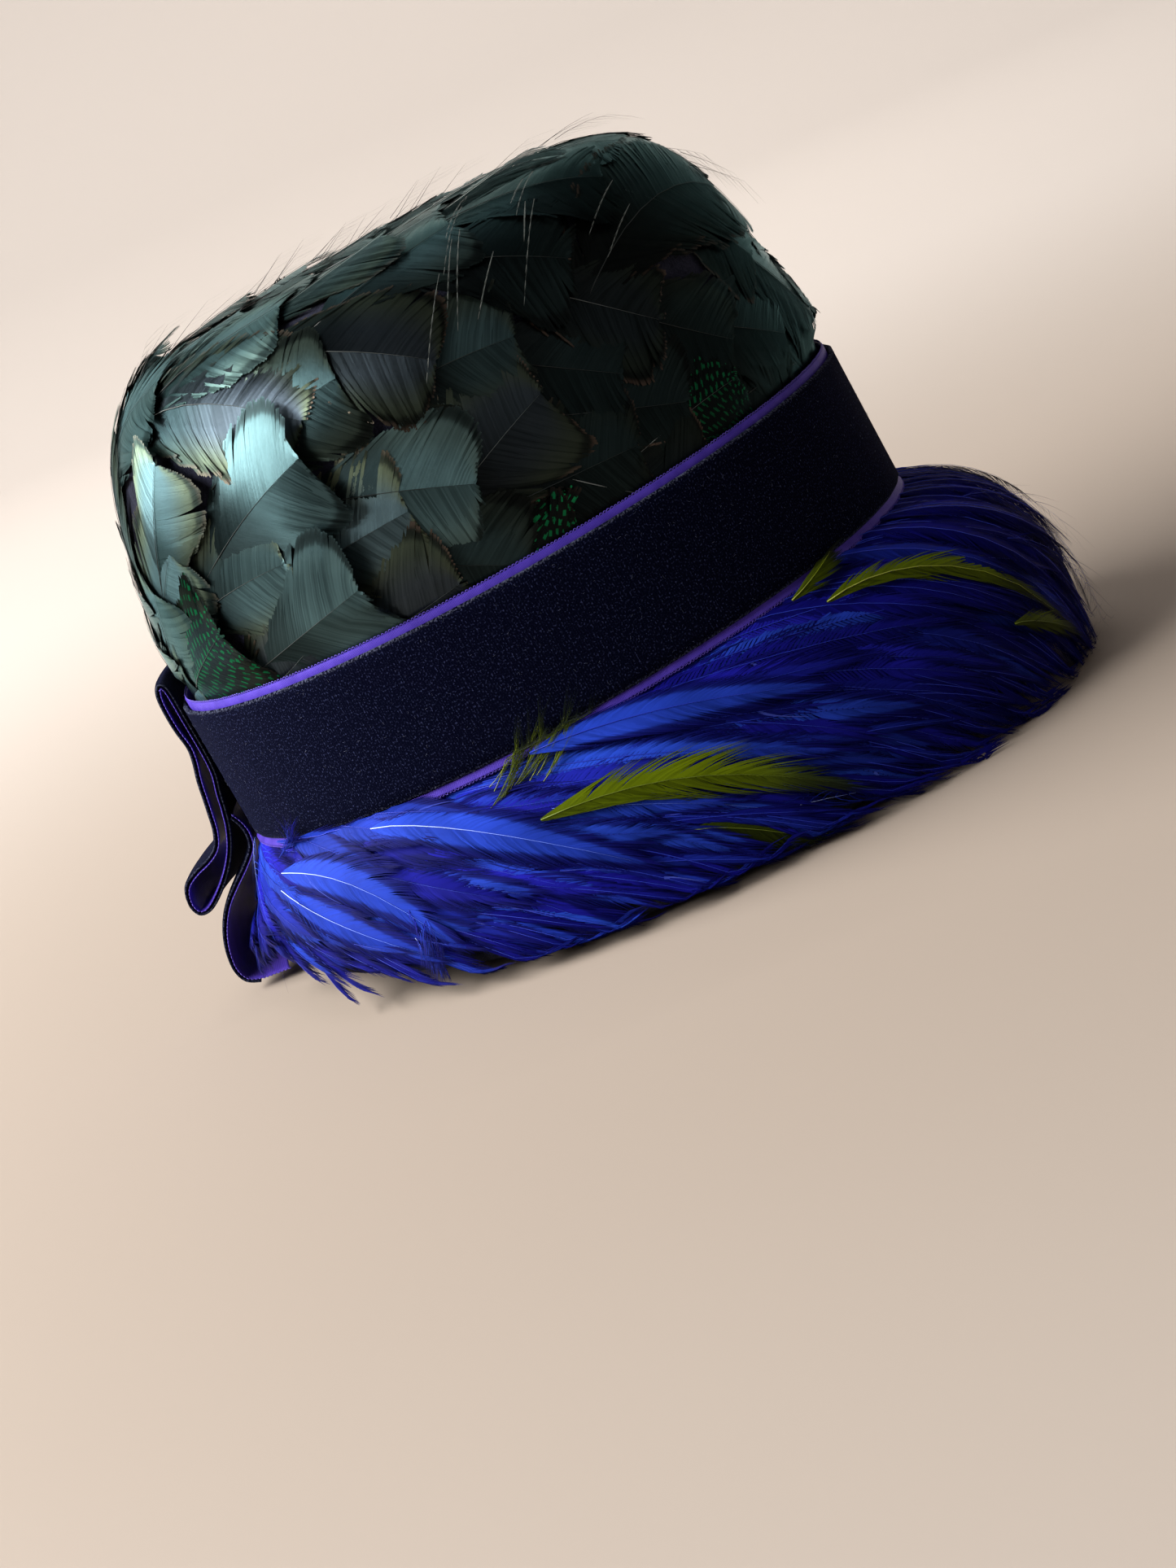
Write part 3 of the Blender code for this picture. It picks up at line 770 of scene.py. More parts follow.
@dataclass(frozen=True)
class PlumeFinish:
    """Finish of a vane: dark to bright by a number on each feather that holds random brightness and, on the
    crown and brim, painted light and shade by place; darker outside, with a sheen along its grain.
    """

    name: str
    dark: Colour
    bright: Colour
    second: Colour
    edge: Colour
    sheen: Colour
    rough: float
    grain: float
    metallic: float
    specular: float
    outlined: Pair
    streak: Pair
    halves: float
    body_table: Table
    along_table: Table
    stray: Colour
    strays: float = 0.0
    fringe: float = 0.0
    outer: Colour | None = None
    spots: Colour | None = None

    def material(self) -> bpy.types.Material:
        """Build the material."""
        shade = Shade(self.name)
        tone, strand, body, along, kind, share, hand = (
            shade.fact(name) for name in ("tone", "strand", "body", "along", "kind", "share", "hand"))
        base = shade.blend(shade.smooth(kind, 0.55, 0.75), self.bright, self.second)
        if self.outer:
            gilt = shade.smooth(along, 0.25, 0.8) * shade.smooth(kind, 0.0, 0.5)
            base = shade.blend(gilt, base, self.outer)
        # Dark to bright by each feather's number: random brightness, with painted light and shade by place
        # on the crown and brim.
        base = shade.blend(tone, self.dark, base)
        # Darker near the barbs' ends and over parts of the body; on the crown this is painted shade under
        # the rows above and painted shadow at the feathers' edges, besides a dark band of their own.
        border = (1.0 - shade.table(along, self.along_table)) * shade.smooth(share, *self.outlined)
        base = shade.blend(shade.table(body, self.body_table) * (1.0 - border), self.edge, base)
        pale = shade.smooth(strand, 1.0 - self.strays, 1.001 - self.strays)
        fringe = shade.smooth(along, 0.90, 0.98) * shade.smooth(kind, 0.25, 0.9)
        base = shade.blend(shade.math("MAXIMUM", pale, fringe * self.fringe), base, self.stray)
        if self.spots:
            base = self.spotted(shade, base, share, along, kind, strand)
        place = shade.place()
        near, far = self.streak
        streak = (strand - 0.5) * (along * (far - near) + near) + 1.0
        lower = shade.smooth(hand, -0.1, 0.1) * self.halves
        vary = (shade.noise(place, 55.0, 3.0) * 0.9 + 0.45) * streak * (1.0 - lower)
        fine = shade.noise(place, 1400.0, 2.0)
        grain = shade.out("ShaderNodeAttribute", key="Vector", attribute_name="grain")
        across = shade.vector("CROSS_PRODUCT", grain, shade.out("ShaderNodeNewGeometry", key="Normal"))
        return shade.finish((fine, 0.12, 0.1 * MM), Base_Color=shade.vector("SCALE", base, vary),
                            Roughness=fine * 0.16 + (self.rough - 0.08), Tangent=across,
                            Metallic=self.metallic, Anisotropic=self.grain,
                            Specular_IOR_Level=self.specular, Specular_Tint=(*self.sheen, 1))

    def spotted(self, shade: Shade, base: Value, share: Value, along: Value, kind: Value,
                strand: Value) -> Value:
        """Base colour with rows of small dashes on the feathers whose kind is above 1."""
        order = along * 6.0 + strand * 0.45
        row = shade.math("FRACT", order)
        step = shade.math("FRACT", share * 20.0 + shade.math("FLOOR", order) * 0.5)
        far, wide = (shade.math("POWER", way - 0.5, 2.0) for way in (row, step))
        dash = shade.smooth(far * 0.5 + wide, 0.050, 0.030)
        marked = shade.smooth(kind, 1.4, 1.5)
        return shade.blend(dash * marked, shade.blend(marked * 0.85, base, self.edge), self.spots)


@dataclass(frozen=True)
class QuillFinish:
    """Finish of the shafts, pale at the root on some kinds of feather and plain on the others."""

    name: str
    root: Colour
    tip: Colour
    plain: Colour
    pale: Pair

    def material(self) -> bpy.types.Material:
        """Build the material."""
        shade = Shade(self.name)
        base = shade.blend(shade.smooth(shade.fact("share"), 0.05, 0.75), self.root, self.tip)
        base = shade.blend(shade.smooth(shade.fact("kind"), *self.pale), self.plain, base)
        return shade.finish(Base_Color=base, Roughness=0.45, Specular_IOR_Level=0.25)


@dataclass(frozen=True)
class ThreadFinish:
    """Finish of threads and hairs, between two colours by a number that each of them keeps."""

    name: str
    dark: Colour
    bright: Colour
    rough: float = 0.6
    by: str = "strand"

    def material(self) -> bpy.types.Material:
        """Build the material, once."""
        made = bpy.data.materials.get(self.name)
        if made:
            return made
        shade = Shade(self.name)
        return shade.finish(Base_Color=shade.blend(shade.fact(self.by), self.dark, self.bright),
                            Roughness=self.rough)


@dataclass(frozen=True)
class VelvetFinish:
    """Midnight velvet: a deep pile with fine ribs and pale lint along its selvages."""

    name: str = "velvet_pile"
    pile: Colour = (0.0008, 0.0012, 0.0070)
    light: Colour = (0.024, 0.030, 0.078)
    lint: Colour = (0.30, 0.34, 0.50)
    width: float = 41.0 * MM
    ribs: float = 0.72 * MM

    def material(self) -> bpy.types.Material:
        """Build the material."""
        shade = Shade(self.name)
        uv = shade.out("ShaderNodeUVMap", uv_map="cloth")
        run, across, _ = shade.parts(uv)
        fine, soft = shade.noise(uv, 1700.0, 3.0), shade.noise(uv, 90.0, 3.0)
        rib = shade.math("SINE", run * (math.tau / self.ribs))
        base = shade.blend(shade.smooth(rib * 0.035 + fine, 0.54, 0.76), self.pile, self.light)
        edge = shade.math("ABSOLUTE", across - self.width / 2)
        border = shade.smooth(edge, self.width / 2 - 1.1 * MM, self.width / 2 - 0.3 * MM)
        base = shade.blend(border * (shade.smooth(fine, 0.42, 0.62) * 0.16), base, self.lint)
        return shade.finish((fine + rib * 0.10 + soft * 0.6, 0.6, 0.35 * MM), Base_Color=base,
                            Roughness=0.95, Specular_IOR_Level=0.02, Sheen_Weight=0.05,
                            Sheen_Roughness=0.40, Sheen_Tint=(0.16, 0.20, 0.55, 1))


@dataclass(frozen=True)
class SatinFinish:
    """Violet satin, glossy across its width, with fine cords along it."""

    name: str = "satin_weave"
    dark: Colour = (0.026, 0.014, 0.200)
    bright: Colour = (0.085, 0.050, 0.430)
    gloss: Colour = (0.40, 0.30, 1.0)
    cords: float = 0.42 * MM

    def material(self) -> bpy.types.Material:
        """Build the material."""
        shade = Shade(self.name)
        uv = shade.out("ShaderNodeUVMap", uv_map="cloth")
        weave = shade.math("SINE", shade.parts(uv)[0] * (math.tau / self.cords))
        base = shade.blend(weave * 0.12 + shade.noise(uv, 220.0, 2.0), self.dark, self.bright)
        return shade.finish((weave, 0.35, 0.08 * MM), Base_Color=base, Roughness=0.42, IOR=1.2,
                            Specular_Tint=(*self.gloss, 1), Sheen_Weight=0.04, Sheen_Tint=(*self.gloss, 1))


@dataclass(frozen=True)
class FeltFinish:
    """Pressed felt: matte, mottled, with a short fuzz of bump."""

    name: str = "pressed_felt"
    dark: Colour = (0.006, 0.007, 0.014)
    bright: Colour = (0.022, 0.024, 0.042)

    def material(self) -> bpy.types.Material:
        """Build the material."""
        shade = Shade(self.name)
        place = shade.place()
        fibre = shade.noise(place, 900.0, 5.0, 1.6)
        share = (fibre + shade.noise(place, 60.0, 3.0)) * 0.5
        base = shade.blend(shade.smooth(share, 0.35, 0.65), self.dark, self.bright)
        return shade.finish((fibre, 0.5, 0.3 * MM), Base_Color=base, Roughness=0.95,
                            Specular_IOR_Level=0.06, Sheen_Weight=0.02)


CROWN_VANE = Vane(
    across=((0.0, 0.45), (0.2, 0.72), (0.4, 0.92), (0.6, 1.0), (0.8, 0.88), (0.92, 0.52), (1.0, 0.08)),
    ahead=((0.0, 0.80), (0.2, 0.88), (0.4, 0.88), (0.6, 0.76), (0.8, 0.56), (1.0, 0.05)),
    strip=((0.0, 0.75), (0.7, 1.0), (0.92, 1.0), (1.0, 0.60)),
    barbs=106, points=5, width=0.84 * MM, quill=0.17 * MM, cup=1.5 * MM, parting=0.12,
    ruffle=0.5 * MM, stiff=0.35, curl=0.15, tilt=0.22, uneven=0.09)

HACKLE_VANE = Vane(
    across=((0.0, 0.35), (0.15, 0.85), (0.35, 1.0), (0.7, 0.62), (1.0, 0.05)),
    ahead=((0.0, 0.70), (0.3, 1.0), (0.7, 0.85), (1.0, 0.55)),
    strip=((0.0, 1.0), (0.3, 0.95), (0.5, 0.5), (0.8, 0.30), (1.0, 0.06)),
    barbs=76, points=5, width=0.70 * MM, quill=0.16 * MM, cup=1.2 * MM, parting=0.38,
    ruffle=1.3 * MM, stiff=0.15, curl=0.55, tilt=0.45)

WISP_VANE = Vane(
    across=((0.0, 0.4), (0.3, 1.0), (0.8, 0.8), (1.0, 0.2)),
    ahead=((0.0, 1.0), (0.5, 0.9), (1.0, 0.8)),
    strip=((0.0, 1.0), (0.5, 0.7), (1.0, 0.1)),
    barbs=16, points=7, width=0.17 * MM, quill=0.06 * MM, cup=0.0, parting=0.9,
    ruffle=4.0 * MM, stiff=0.3, curl=0.7, tilt=0.4)

BRIGHT_VANE = replace(HACKLE_VANE, barbs=90, parting=0.14, ruffle=0.5 * MM, curl=0.40, uneven=0.12)

FRINGE_VANE = replace(HACKLE_VANE, barbs=30, points=4)

CROWN_WISP_VANE = replace(WISP_VANE, barbs=8, width=0.16 * MM, quill=0.07 * MM, parting=0.3,
                          ruffle=0.4 * MM, curl=0.2)

OLIVE_VANE = replace(HACKLE_VANE, parting=0.40, ruffle=0.8 * MM, curl=0.35, uneven=0.6)

CROWN_PLUME = PlumeFinish(
    name="iridescent_plume", dark=(0.003, 0.005, 0.005), bright=(0.130, 0.245, 0.270),
    second=(0.110, 0.145, 0.190), edge=(0.003, 0.003, 0.003), sheen=(0.62, 0.95, 1.0), rough=0.33,
    grain=0.8, metallic=0.85, specular=0.3, stray=(0.100, 0.070, 0.055), fringe=0.5,
    outlined=(0.3, 0.6), streak=(0.5, 0.8), halves=0.36, outer=(0.155, 0.200, 0.130),
    spots=(0.004, 0.130, 0.045),
    # On the crown the root part of each vane, under the row above, is darkened as painted shade; the dark
    # band near the ends is partly the feathers' own band, partly painted shadow at their edges.
    body_table=((0.0, 0.15), (0.4, 0.3), (0.62, 0.9), (0.8, 1.0), (1.0, 0.45)),
    along_table=((0.0, 1.0), (0.74, 0.95), (0.86, 0.22), (0.93, 0.16), (1.0, 0.5)))

BLUE_PLUME = PlumeFinish(
    name="royal_hackle", dark=(0.005, 0.005, 0.160), bright=(0.020, 0.066, 0.560),
    second=(0.014, 0.014, 0.400), edge=(0.003, 0.003, 0.070), sheen=(0.30, 0.42, 1.0), rough=0.55,
    grain=0.6, metallic=0.0, specular=0.05, stray=(0.08, 0.12, 0.60), strays=0.0006,
    outlined=(-0.1, 0.0), streak=(0.15, 1.0), halves=0.2,
    body_table=((0.0, 1.0), (0.6, 0.75), (1.0, 0.2)),
    along_table=((0.0, 1.0), (0.42, 0.95), (0.56, 0.2), (1.0, 0.0)))

OLIVE_PLUME = PlumeFinish(
    name="olive_hackle", dark=(0.012, 0.020, 0.002), bright=(0.090, 0.128, 0.002),
    second=(0.070, 0.100, 0.004), edge=(0.005, 0.009, 0.010), sheen=(0.9, 1.0, 0.5), rough=0.5,
    grain=0.6, metallic=0.0, specular=0.08, stray=(0.36, 0.44, 0.04),
    outlined=(-0.1, 0.0), streak=(0.5, 1.3), halves=0.5,
    body_table=((0.0, 1.0), (0.6, 1.0), (0.85, 0.25), (1.0, 0.0)),
    along_table=((0.0, 1.0), (0.6, 0.85), (1.0, 0.1)))

# The pale end of this finish is a painted sheen of loose barbs; the dark end is the hairs' own colour.
FILAMENT = ThreadFinish("loose_hair", (0.006, 0.008, 0.007), (0.090, 0.105, 0.100), 0.4, "kind")

PICOT = ThreadFinish("picot_thread", (0.07, 0.04, 0.40), (0.20, 0.15, 0.72), 0.5)

LINT = ThreadFinish("pale_lint", (0.020, 0.028, 0.060), (0.12, 0.14, 0.24))


@dataclass
class CrownPlumage:
    """Broad feathers that cover the crown, laid in rows from the back of the hem to the front."""

    rows: int = 14
    across: float = 9.8
    length: float = 48.0 * MM
    half: float = 20.5 * MM
    reach: float = 19.0 * MM
    root_height: float = 0.5 * MM
    tip_height: float = 2.4 * MM
    guide_off: float = 2.7 * MM
    seed: int = 11
    shaft_points: int = 9
    # Painted light and shade on the crown: feathers ending before the first of these ways from the back are
    # bright and those past the second dark, and the next value darkens them more over the top.
    painted_light_fade: Pair = (0.36, 0.56)
    painted_top_shade: float = 0.09
    hairs: int = 45
    spotted: Table = ((0.20, 0.09), (0.50, 0.04), (0.74, 0.05), (0.32, 0.93), (0.62, 0.95))

    def guide(self) -> bpy.types.Object:
        """Smooth crown that the feathers lie on."""
        run = np.linspace(0.0, 1.0, 72)[:, None] + np.zeros((1, 61))
        arch = np.linspace(0.0, 1.0, 61)[None, :] + np.zeros((72, 1))
        points = FORM.crown(run, arch, self.guide_off)
        room = np.clip((points[..., 2] - 44.8 * MM) / (5.0 * MM), 0.12, 1)
        return make_guide("crown_guide", FORM.place(points), room, False)

    def laid(self, run: np.ndarray, arch: np.ndarray) -> np.ndarray:
        """Points on the crown's guide, held at its hem."""
        return FORM.place(FORM.crown(np.clip(run, 0, 1), np.clip(arch, 0, 1), self.guide_off))

    def shafts(self, wanted: range) -> Shafts:
        """Shafts of some of the rows."""
        draw = np.random.default_rng(self.seed + wanted[0])
        shafts = Shafts()
        steps = np.linspace(0.0, 1.0, self.shaft_points)
        for row in wanted:
            tip = (row + 1.15) / self.rows
            wide = math.sin(math.pi * min(max(tip - 0.06, 0.08), 0.92)) ** 0.8
            count = max(5, round(self.across * wide))
            for k in range(count + row % 2):
                arch = (k + 0.5 - 0.5 * (row % 2)) / count + draw.normal(0, 0.10) / count
                arch = min(max(arch, 0.015), 0.985)
                end = tip + draw.normal(0, 0.012)
                size = draw.uniform(0.88, 1.10)
                span = self.length * size / (0.29 + 0.05 * math.sin(math.pi * arch))
                turn = draw.normal(0, 0.034)
                run = end - span * (1 - steps)
                side = arch + turn * (steps - 0.5) * 2
                line = self.laid(run, side)
                keep = np.concatenate([[True], np.linalg.norm(np.diff(line, axis=0), axis=1) > 1 * MM])
                lift = self.tip_height - self.root_height + max(0.0, draw.normal(-1.2, 2.5)) * MM
                # Painted light and shade: bright on the back of the crown, where the window light falls,
                # darker towards the front, over the top and at the hem.
                painted_hem_shade = 0.35 + 0.65 * clip(math.sin(math.pi * arch) / 0.5)
                late = end - 0.08 + self.painted_top_shade * math.sin(math.pi * arch) ** 6
                fade = (late - self.painted_light_fade[0]) / (self.painted_light_fade[1] - self.painted_light_fade[0])
                painted_light = painted_hem_shade * (1.0 - 0.93 * clip(fade))
                height = (self.root_height + lift * steps ** 1.4)[keep] + draw.normal(0, 0.15 * MM)
                line = line[keep]
                if len(line) < 4:
                    continue
                away = min(math.hypot(end - 0.06 - at, (arch - round_at) * 0.8)
                           for at, round_at in self.spotted)
                shafts.add(line, height, half=self.half * size, reach=self.reach * size,
                           roll=draw.normal(0.3, 0.35) * MM, size=1.0, tone=painted_light * draw.beta(2.6, 1.8),
                           kind=2.0 if away < 0.05 else draw.uniform())
        return shafts

    def filaments(self) -> Shafts:
        """Loose hairs that hang down over the feathers, and dark ones that stand off the top."""
        draw = np.random.default_rng(self.seed + 90)
        shafts = Shafts()
        steps = np.linspace(0.0, 1.0, self.shaft_points)
        for k in range(self.hairs):
            # Every fourth hair is pale: a painted sheen where loose barbs catch the light.
            pale = k % 4 == 0
            run = draw.normal(0.62, 0.05) if pale else draw.uniform(0.25, 0.80)
            arch = draw.uniform(0.26, 0.38) if pale else draw.uniform(0.42, 0.62)
            drop = draw.uniform(0.03, 0.09) if pale else 0.0
            side = arch - drop * steps
            way = run + (draw.normal(-0.5, 0.1) * drop if pale else 0.04) * steps
            line = self.laid(way, side)
            rise = 3.6 if pale else draw.uniform(6.0, 10.0)
            height = (3.0 + (rise - 3.0) * steps) * MM
            shafts.add(line, height, half=(0.2 if pale else 1.6) * MM, reach=(3.0 if pale else 9.0) * MM,
                       roll=0.0, size=1.0, tone=0.0, kind=1.0 if pale else 0.0)
        return shafts

    def build(self, quill: bpy.types.Material) -> list[bpy.types.Object]:
        """Build the crown's plumage: back rows, front rows and loose hairs."""
        guide = self.guide()
        tree = FeatherTree("crown barbs", CROWN_VANE)
        cloth = CROWN_PLUME.material()
        split = self.rows // 2
        parts = {"crown_plumage_back": range(0, split), "crown_plumage_front": range(split, self.rows)}
        pieces = [tree.lay(name, self.shafts(wanted), guide, cloth, quill, 0.0, self.seed + wanted[0])
                  for name, wanted in parts.items()]
        wisps = FeatherTree("crown wisps", CROWN_WISP_VANE)
        pieces.append(wisps.lay("crown_filaments", self.filaments(), guide, FILAMENT.material(),
                                FILAMENT.material(), 0.0, self.seed))
        remove(guide)
        return pieces


@dataclass(frozen=True)
class HackleRow:
    """One row of the brim's hackles."""

    name: str
    count: int
    root: float
    tip: float
    sweep: float
    root_height: float
    tip_height: float
    half: float
    reach: float
    tone: float
    span: Pair = (-0.06, 0.94)
    vane: Vane = HACKLE_VANE
    fluff: float = 4.5 * MM
    trim: float = 0.17


@dataclass(frozen=True)
class Accent:
    """A listed feather: way round and share down at its root and its tip; the rest in mm."""

    root: Pair
    tip: Pair
    half: float
    reach: float
    height: Pair
    tone: float
    bend: float = 0.0
    kind: float | None = None


OLIVES = (
    Accent((0.432, 0.46), (0.612, 0.84), 6.2, 18.0, (6.2, 6.2), 0.85, 0.8),
    Accent((0.680, 0.14), (0.745, 0.06), 3.0, 9.0, (5.4, 6.4), 0.6),
    Accent((0.696, 0.26), (0.850, 0.84), 4.4, 14.0, (6.0, 7.0), 0.8, 0.9),
    Accent((0.800, 0.78), (0.855, 0.92), 3.2, 9.0, (7.5, 8.0), 0.45),
    Accent((0.520, 0.76), (0.600, 1.02), 4.5, 11.0, (3.4, 2.6), 0.08),
)

BRIGHTS = (
    Accent((0.165, 0.32), (0.335, 0.80), 7.0, 16.0, (6.0, 6.4), 0.68, 1.5, 0.0),
    Accent((0.160, 0.44), (0.312, 0.85), 6.0, 15.0, (5.4, 5.8), 0.58, 0.0, 0.0),
    Accent((0.287, 0.15), (0.475, 0.76), 7.0, 16.0, (5.6, 6.2), 0.72, 0.2, 0.0),
    Accent((0.440, 0.10), (0.640, 0.52), 6.5, 16.0, (5.0, 5.8), 0.65, 0.3, 0.4),
    Accent((0.140, -0.05), (0.280, 0.36), 5.5, 13.0, (4.6, 5.2), 0.45, 0.3, 0.5),
    Accent((0.185, -0.06), (0.330, 0.28), 5.5, 13.0, (4.6, 5.4), 0.52, 0.4, 0.5),
    Accent((0.225, -0.04), (0.370, 0.24), 5.0, 12.0, (4.6, 5.4), 0.42, 0.4, 0.5),
)

WISPS = (
    Accent((0.060, 0.02), (0.120, 0.72), 4.0, 16.0, (5.0, 5.0), 0.8),
    Accent((0.100, 0.10), (0.220, 0.70), 4.0, 16.0, (5.4, 5.4), 1.0),
    Accent((0.780, 0.85), (0.930, 1.15), 4.0, 18.0, (3.0, 3.0), 0.2),
    Accent((0.830, 0.75), (0.985, 1.10), 4.0, 18.0, (3.4, 3.4), 0.1),
    Accent((0.660, 0.80), (0.800, 1.12), 4.0, 18.0, (3.0, 3.0), 0.2),
    Accent((0.560, 0.82), (0.690, 1.05), 4.0, 16.0, (3.0, 3.0), 0.3),
    Accent((0.870, 0.55), (0.960, 1.02), 4.0, 14.0, (5.0, 8.0), 0.1),
    Accent((0.900, 0.30), (0.975, 0.72), 4.0, 14.0, (4.0, 9.0), 0.1),
    Accent((0.930, 0.60), (0.995, 0.98), 4.0, 14.0, (4.0, 8.0), 0.1),
)

OLIVE_TUFT = Accent((0.395, 0.20), (0.440, -0.12), 0.9, 9.0, (2.5, 6.0), 0.7)

BLUE_TUFTS = (
    Accent((0.150, 0.12), (0.180, -0.12), 0.8, 8.0, (5.0, 5.6), 0.5),
    Accent((0.312, 0.70), (0.314, 0.94), 0.4, 5.0, (6.5, 4.5), 0.7),
)


@dataclass
class BrimPlumage:
    """Long hackles that sweep forward over the brim, in rows from its rim up to the band."""

    seed: int = 29
    shaft_points: int = 9
    floor: float = 0.4 * MM
    rows: tuple[HackleRow, ...] = (
        HackleRow("hackles_fringe", 84, 0.68, 0.99, 0.10, 2.0 * MM, 7.5 * MM, 2.0 * MM, 12 * MM, 0.0,
                  (-0.04, 0.99), FRINGE_VANE, 0.0, 0.13),
        HackleRow("hackles_under", 45, 0.34, 0.93, 0.17, 0.2 * MM, 3.0 * MM, 6.0 * MM, 17 * MM, 0.30),
        HackleRow("hackles_lower", 36, 0.22, 0.89, 0.20, 0.6 * MM, 4.6 * MM, 7.0 * MM, 17 * MM, 0.78),
        HackleRow("hackles_middle", 30, 0.06, 0.76, 0.24, 1.0 * MM, 5.0 * MM, 8.0 * MM, 17 * MM, 0.62),
        HackleRow("hackles_upper", 26, 0.02, 0.52, 0.25, 0.6 * MM, 4.4 * MM, 8.0 * MM, 17 * MM, 0.65),
        HackleRow("hackles_crest", 22, -0.05, 0.60, 0.16, 1.5 * MM, 6.5 * MM, 5.5 * MM, 15 * MM, 0.10,
                  (0.62, 0.98)),
    )
    band_edge: Table = ((-0.1, -0.05), (0.12, -0.05), (0.22, 0.02), (0.38, 0.02), (0.46, -0.08),
                        (1.0, -0.10))

    def guide(self) -> bpy.types.Object:
        """Smooth brim that the hackles lie on, running on past the rim."""
        angle = turns(192)[None, :]
        share = np.concatenate([np.linspace(-0.5, 0.0, 9), np.linspace(0.0, 1.0, 24)[1:],
                                np.linspace(1.0, 1.7, 8)[1:]])[:, None]
        points = FORM.place(FORM.brim(angle, share))[::-1]
        return make_guide("brim_guide", points, np.ones(points.shape[:2]), True)

    def line(self, side: Side, root: float, forward: float, low: float, high: float,
             bend: float = 0.0) -> np.ndarray:
        """Shaft of a hackle.

        Args:
            side: Side of the wearer.
            root: Way from the back, 0, to the front, 1, at its root.
            forward: How far it sweeps forward, in the same measure.
            low: Share down the brim at its root.
            high: Share down the brim at its tip.
            bend: How much later it turns down than forward.

        Returns:
            Points of the shaft in the hat's frame.
        """
        steps = np.linspace(0.0, 1.0, self.shaft_points)
        ease = clip(root / 0.3)
        way = root + forward * steps ** (1.3 - 0.3 * ease)
        angle = side.value * math.pi * (1.0 - way)
        return FORM.place(FORM.brim(angle, low + (high - low) * steps ** (1.0 + 0.25 * ease + bend)))

    def shafts(self, row: HackleRow) -> Shafts:
        """Shafts of a row, on both sides."""
        draw = np.random.default_rng(self.seed + round(row.root * 100) + 50)
        shafts = Shafts()
        for side in Side:
            for k in range(row.count):
                first, last = row.span
                root = first + (last - first) * (k + 0.5 + draw.normal(0, 0.3)) / row.count
                ease = math.sin(math.pi * min(max(root + 0.5 * row.sweep, 0.02), 0.98)) ** 0.6
                if root < 0.4:
                    ease = 1.0
                forward = row.sweep * ease * draw.uniform(0.8, 1.2)
                low = row.root + draw.normal(0, 0.03)
                if row.name == "hackles_upper":
                    low += float(np.interp(root, *zip(*self.band_edge)))
                high = row.tip + draw.normal(0, 0.07) + 0.09 * max(0.0, 2 * (root + forward) - 1)
                high -= row.trim * (1.0 - clip(root / 0.35))
                line = self.line(side, root, forward, low, high)
                size = draw.uniform(0.85, 1.15)
                front = clip((root + forward - 0.70) / 0.2)
                fluff = row.fluff * front * draw.uniform() ** 2
                rise = row.tip_height * (1.0 - 0.5 * front) + fluff - row.root_height
                height = row.root_height + rise * np.linspace(0, 1, len(line)) ** 1.5
                # Painted light and shade on the hackles: darker towards the front, away from the window
                # light, and lighter on the sides from about a third of the way round to a half.
                painted_front_shade = 0.75 * clip((root + forward - 0.52) / 0.4)
                painted_side_light = 0.28 * clip(root / 0.15 - 1.0) * clip(3.3 - 5.0 * root)
                tone = clip(row.tone - painted_front_shade + painted_side_light + draw.normal(0, 0.35))
                brightest = 1.0 if root < 0.4 and row.tone > 0 else 0.84
                shafts.add(line, height + draw.normal(0, 0.25 * MM), half=row.half * size,
                           reach=row.reach * size, roll=draw.normal(0, 0.5) * MM, size=1.0,
                           tone=tone, kind=1.0 - draw.uniform() * brightest)
        return shafts

    def tuft(self, model: Accent, count: int, spread: float) -> tuple[Accent, ...]:
        """Loose barbs that stand up side by side, each a little unlike the model."""
        draw = np.random.default_rng(self.seed + 3)
        found = []
        for k in range(count):
            shift = spread * (k / (count - 1))
            rise = draw.uniform(0.45, 1.1) * (model.tip[1] - model.root[1])
            root = (model.root[0] + shift, model.root[1] + draw.normal(0.04, 0.05))
            lean = (model.tip[0] - model.root[0]) * draw.uniform(0.5, 1.3)
            found.append(replace(model, root=root, tip=(root[0] + lean, root[1] + rise),
                                 tone=draw.uniform(0.2, 0.9)))
        return tuple(found)

    def placed(self, accents: tuple[Accent, ...]) -> Shafts:
        """Shafts of feathers that are placed one by one, on both sides of the hat."""
        draw = np.random.default_rng(self.seed)
        shafts = Shafts()
        for side in Side:
            for accent in accents:
                shift = 0.0 if side is Side.RIGHT else draw.normal(0, 0.04)
                line = self.line(side, accent.root[0] + shift, accent.tip[0] - accent.root[0],
                                 accent.root[1], accent.tip[1], accent.bend)
                height = np.linspace(*accent.height, len(line)) * MM
                kind = draw.uniform()
                shafts.add(line, height, half=accent.half * MM, reach=accent.reach * MM, roll=0.0,
                           size=1.0, tone=accent.tone, kind=kind if accent.kind is None else accent.kind)
        return shafts

    def underlay(self) -> bpy.types.Object:
        """Dark wall under the hackles, streaked along their sweep; its dark colour is painted shade deep
        between and under the hackles.
        """
        columns = 360
        angle = turns(columns)
        shares = np.linspace(0.02, 0.86, 20)
        draw = np.random.default_rng(self.seed)
        ragged = 1.0 - 0.10 * draw.uniform(0, 1, columns)
        rows = [FORM.brim(angle, share * ragged, -0.5 * MM) for share in shares]
        rows += [FORM.brim(angle, share * ragged, -1.9 * MM) for share in shares[::-1]]
        points = FORM.place(np.array(rows))
        faces = grid_faces(len(rows), columns, True, True)
        down = mesh_piece("brim_underlay", points.reshape(-1, 3), faces)
        face_out(down)
        streak = np.stack([draw.uniform(0, 1, columns)] * len(rows))
        streak = np.stack([np.roll(row, 3 * k) for k, row in enumerate(streak)])
        keep(down.data, "strand", streak)
        # Kept near the darkest blue: painted shade deep in the plumage.
        keep(down.data, "tone", streak * 0.4)
        keep(down.data, "grain", np.gradient(points, axis=0), VECTOR)
        return down

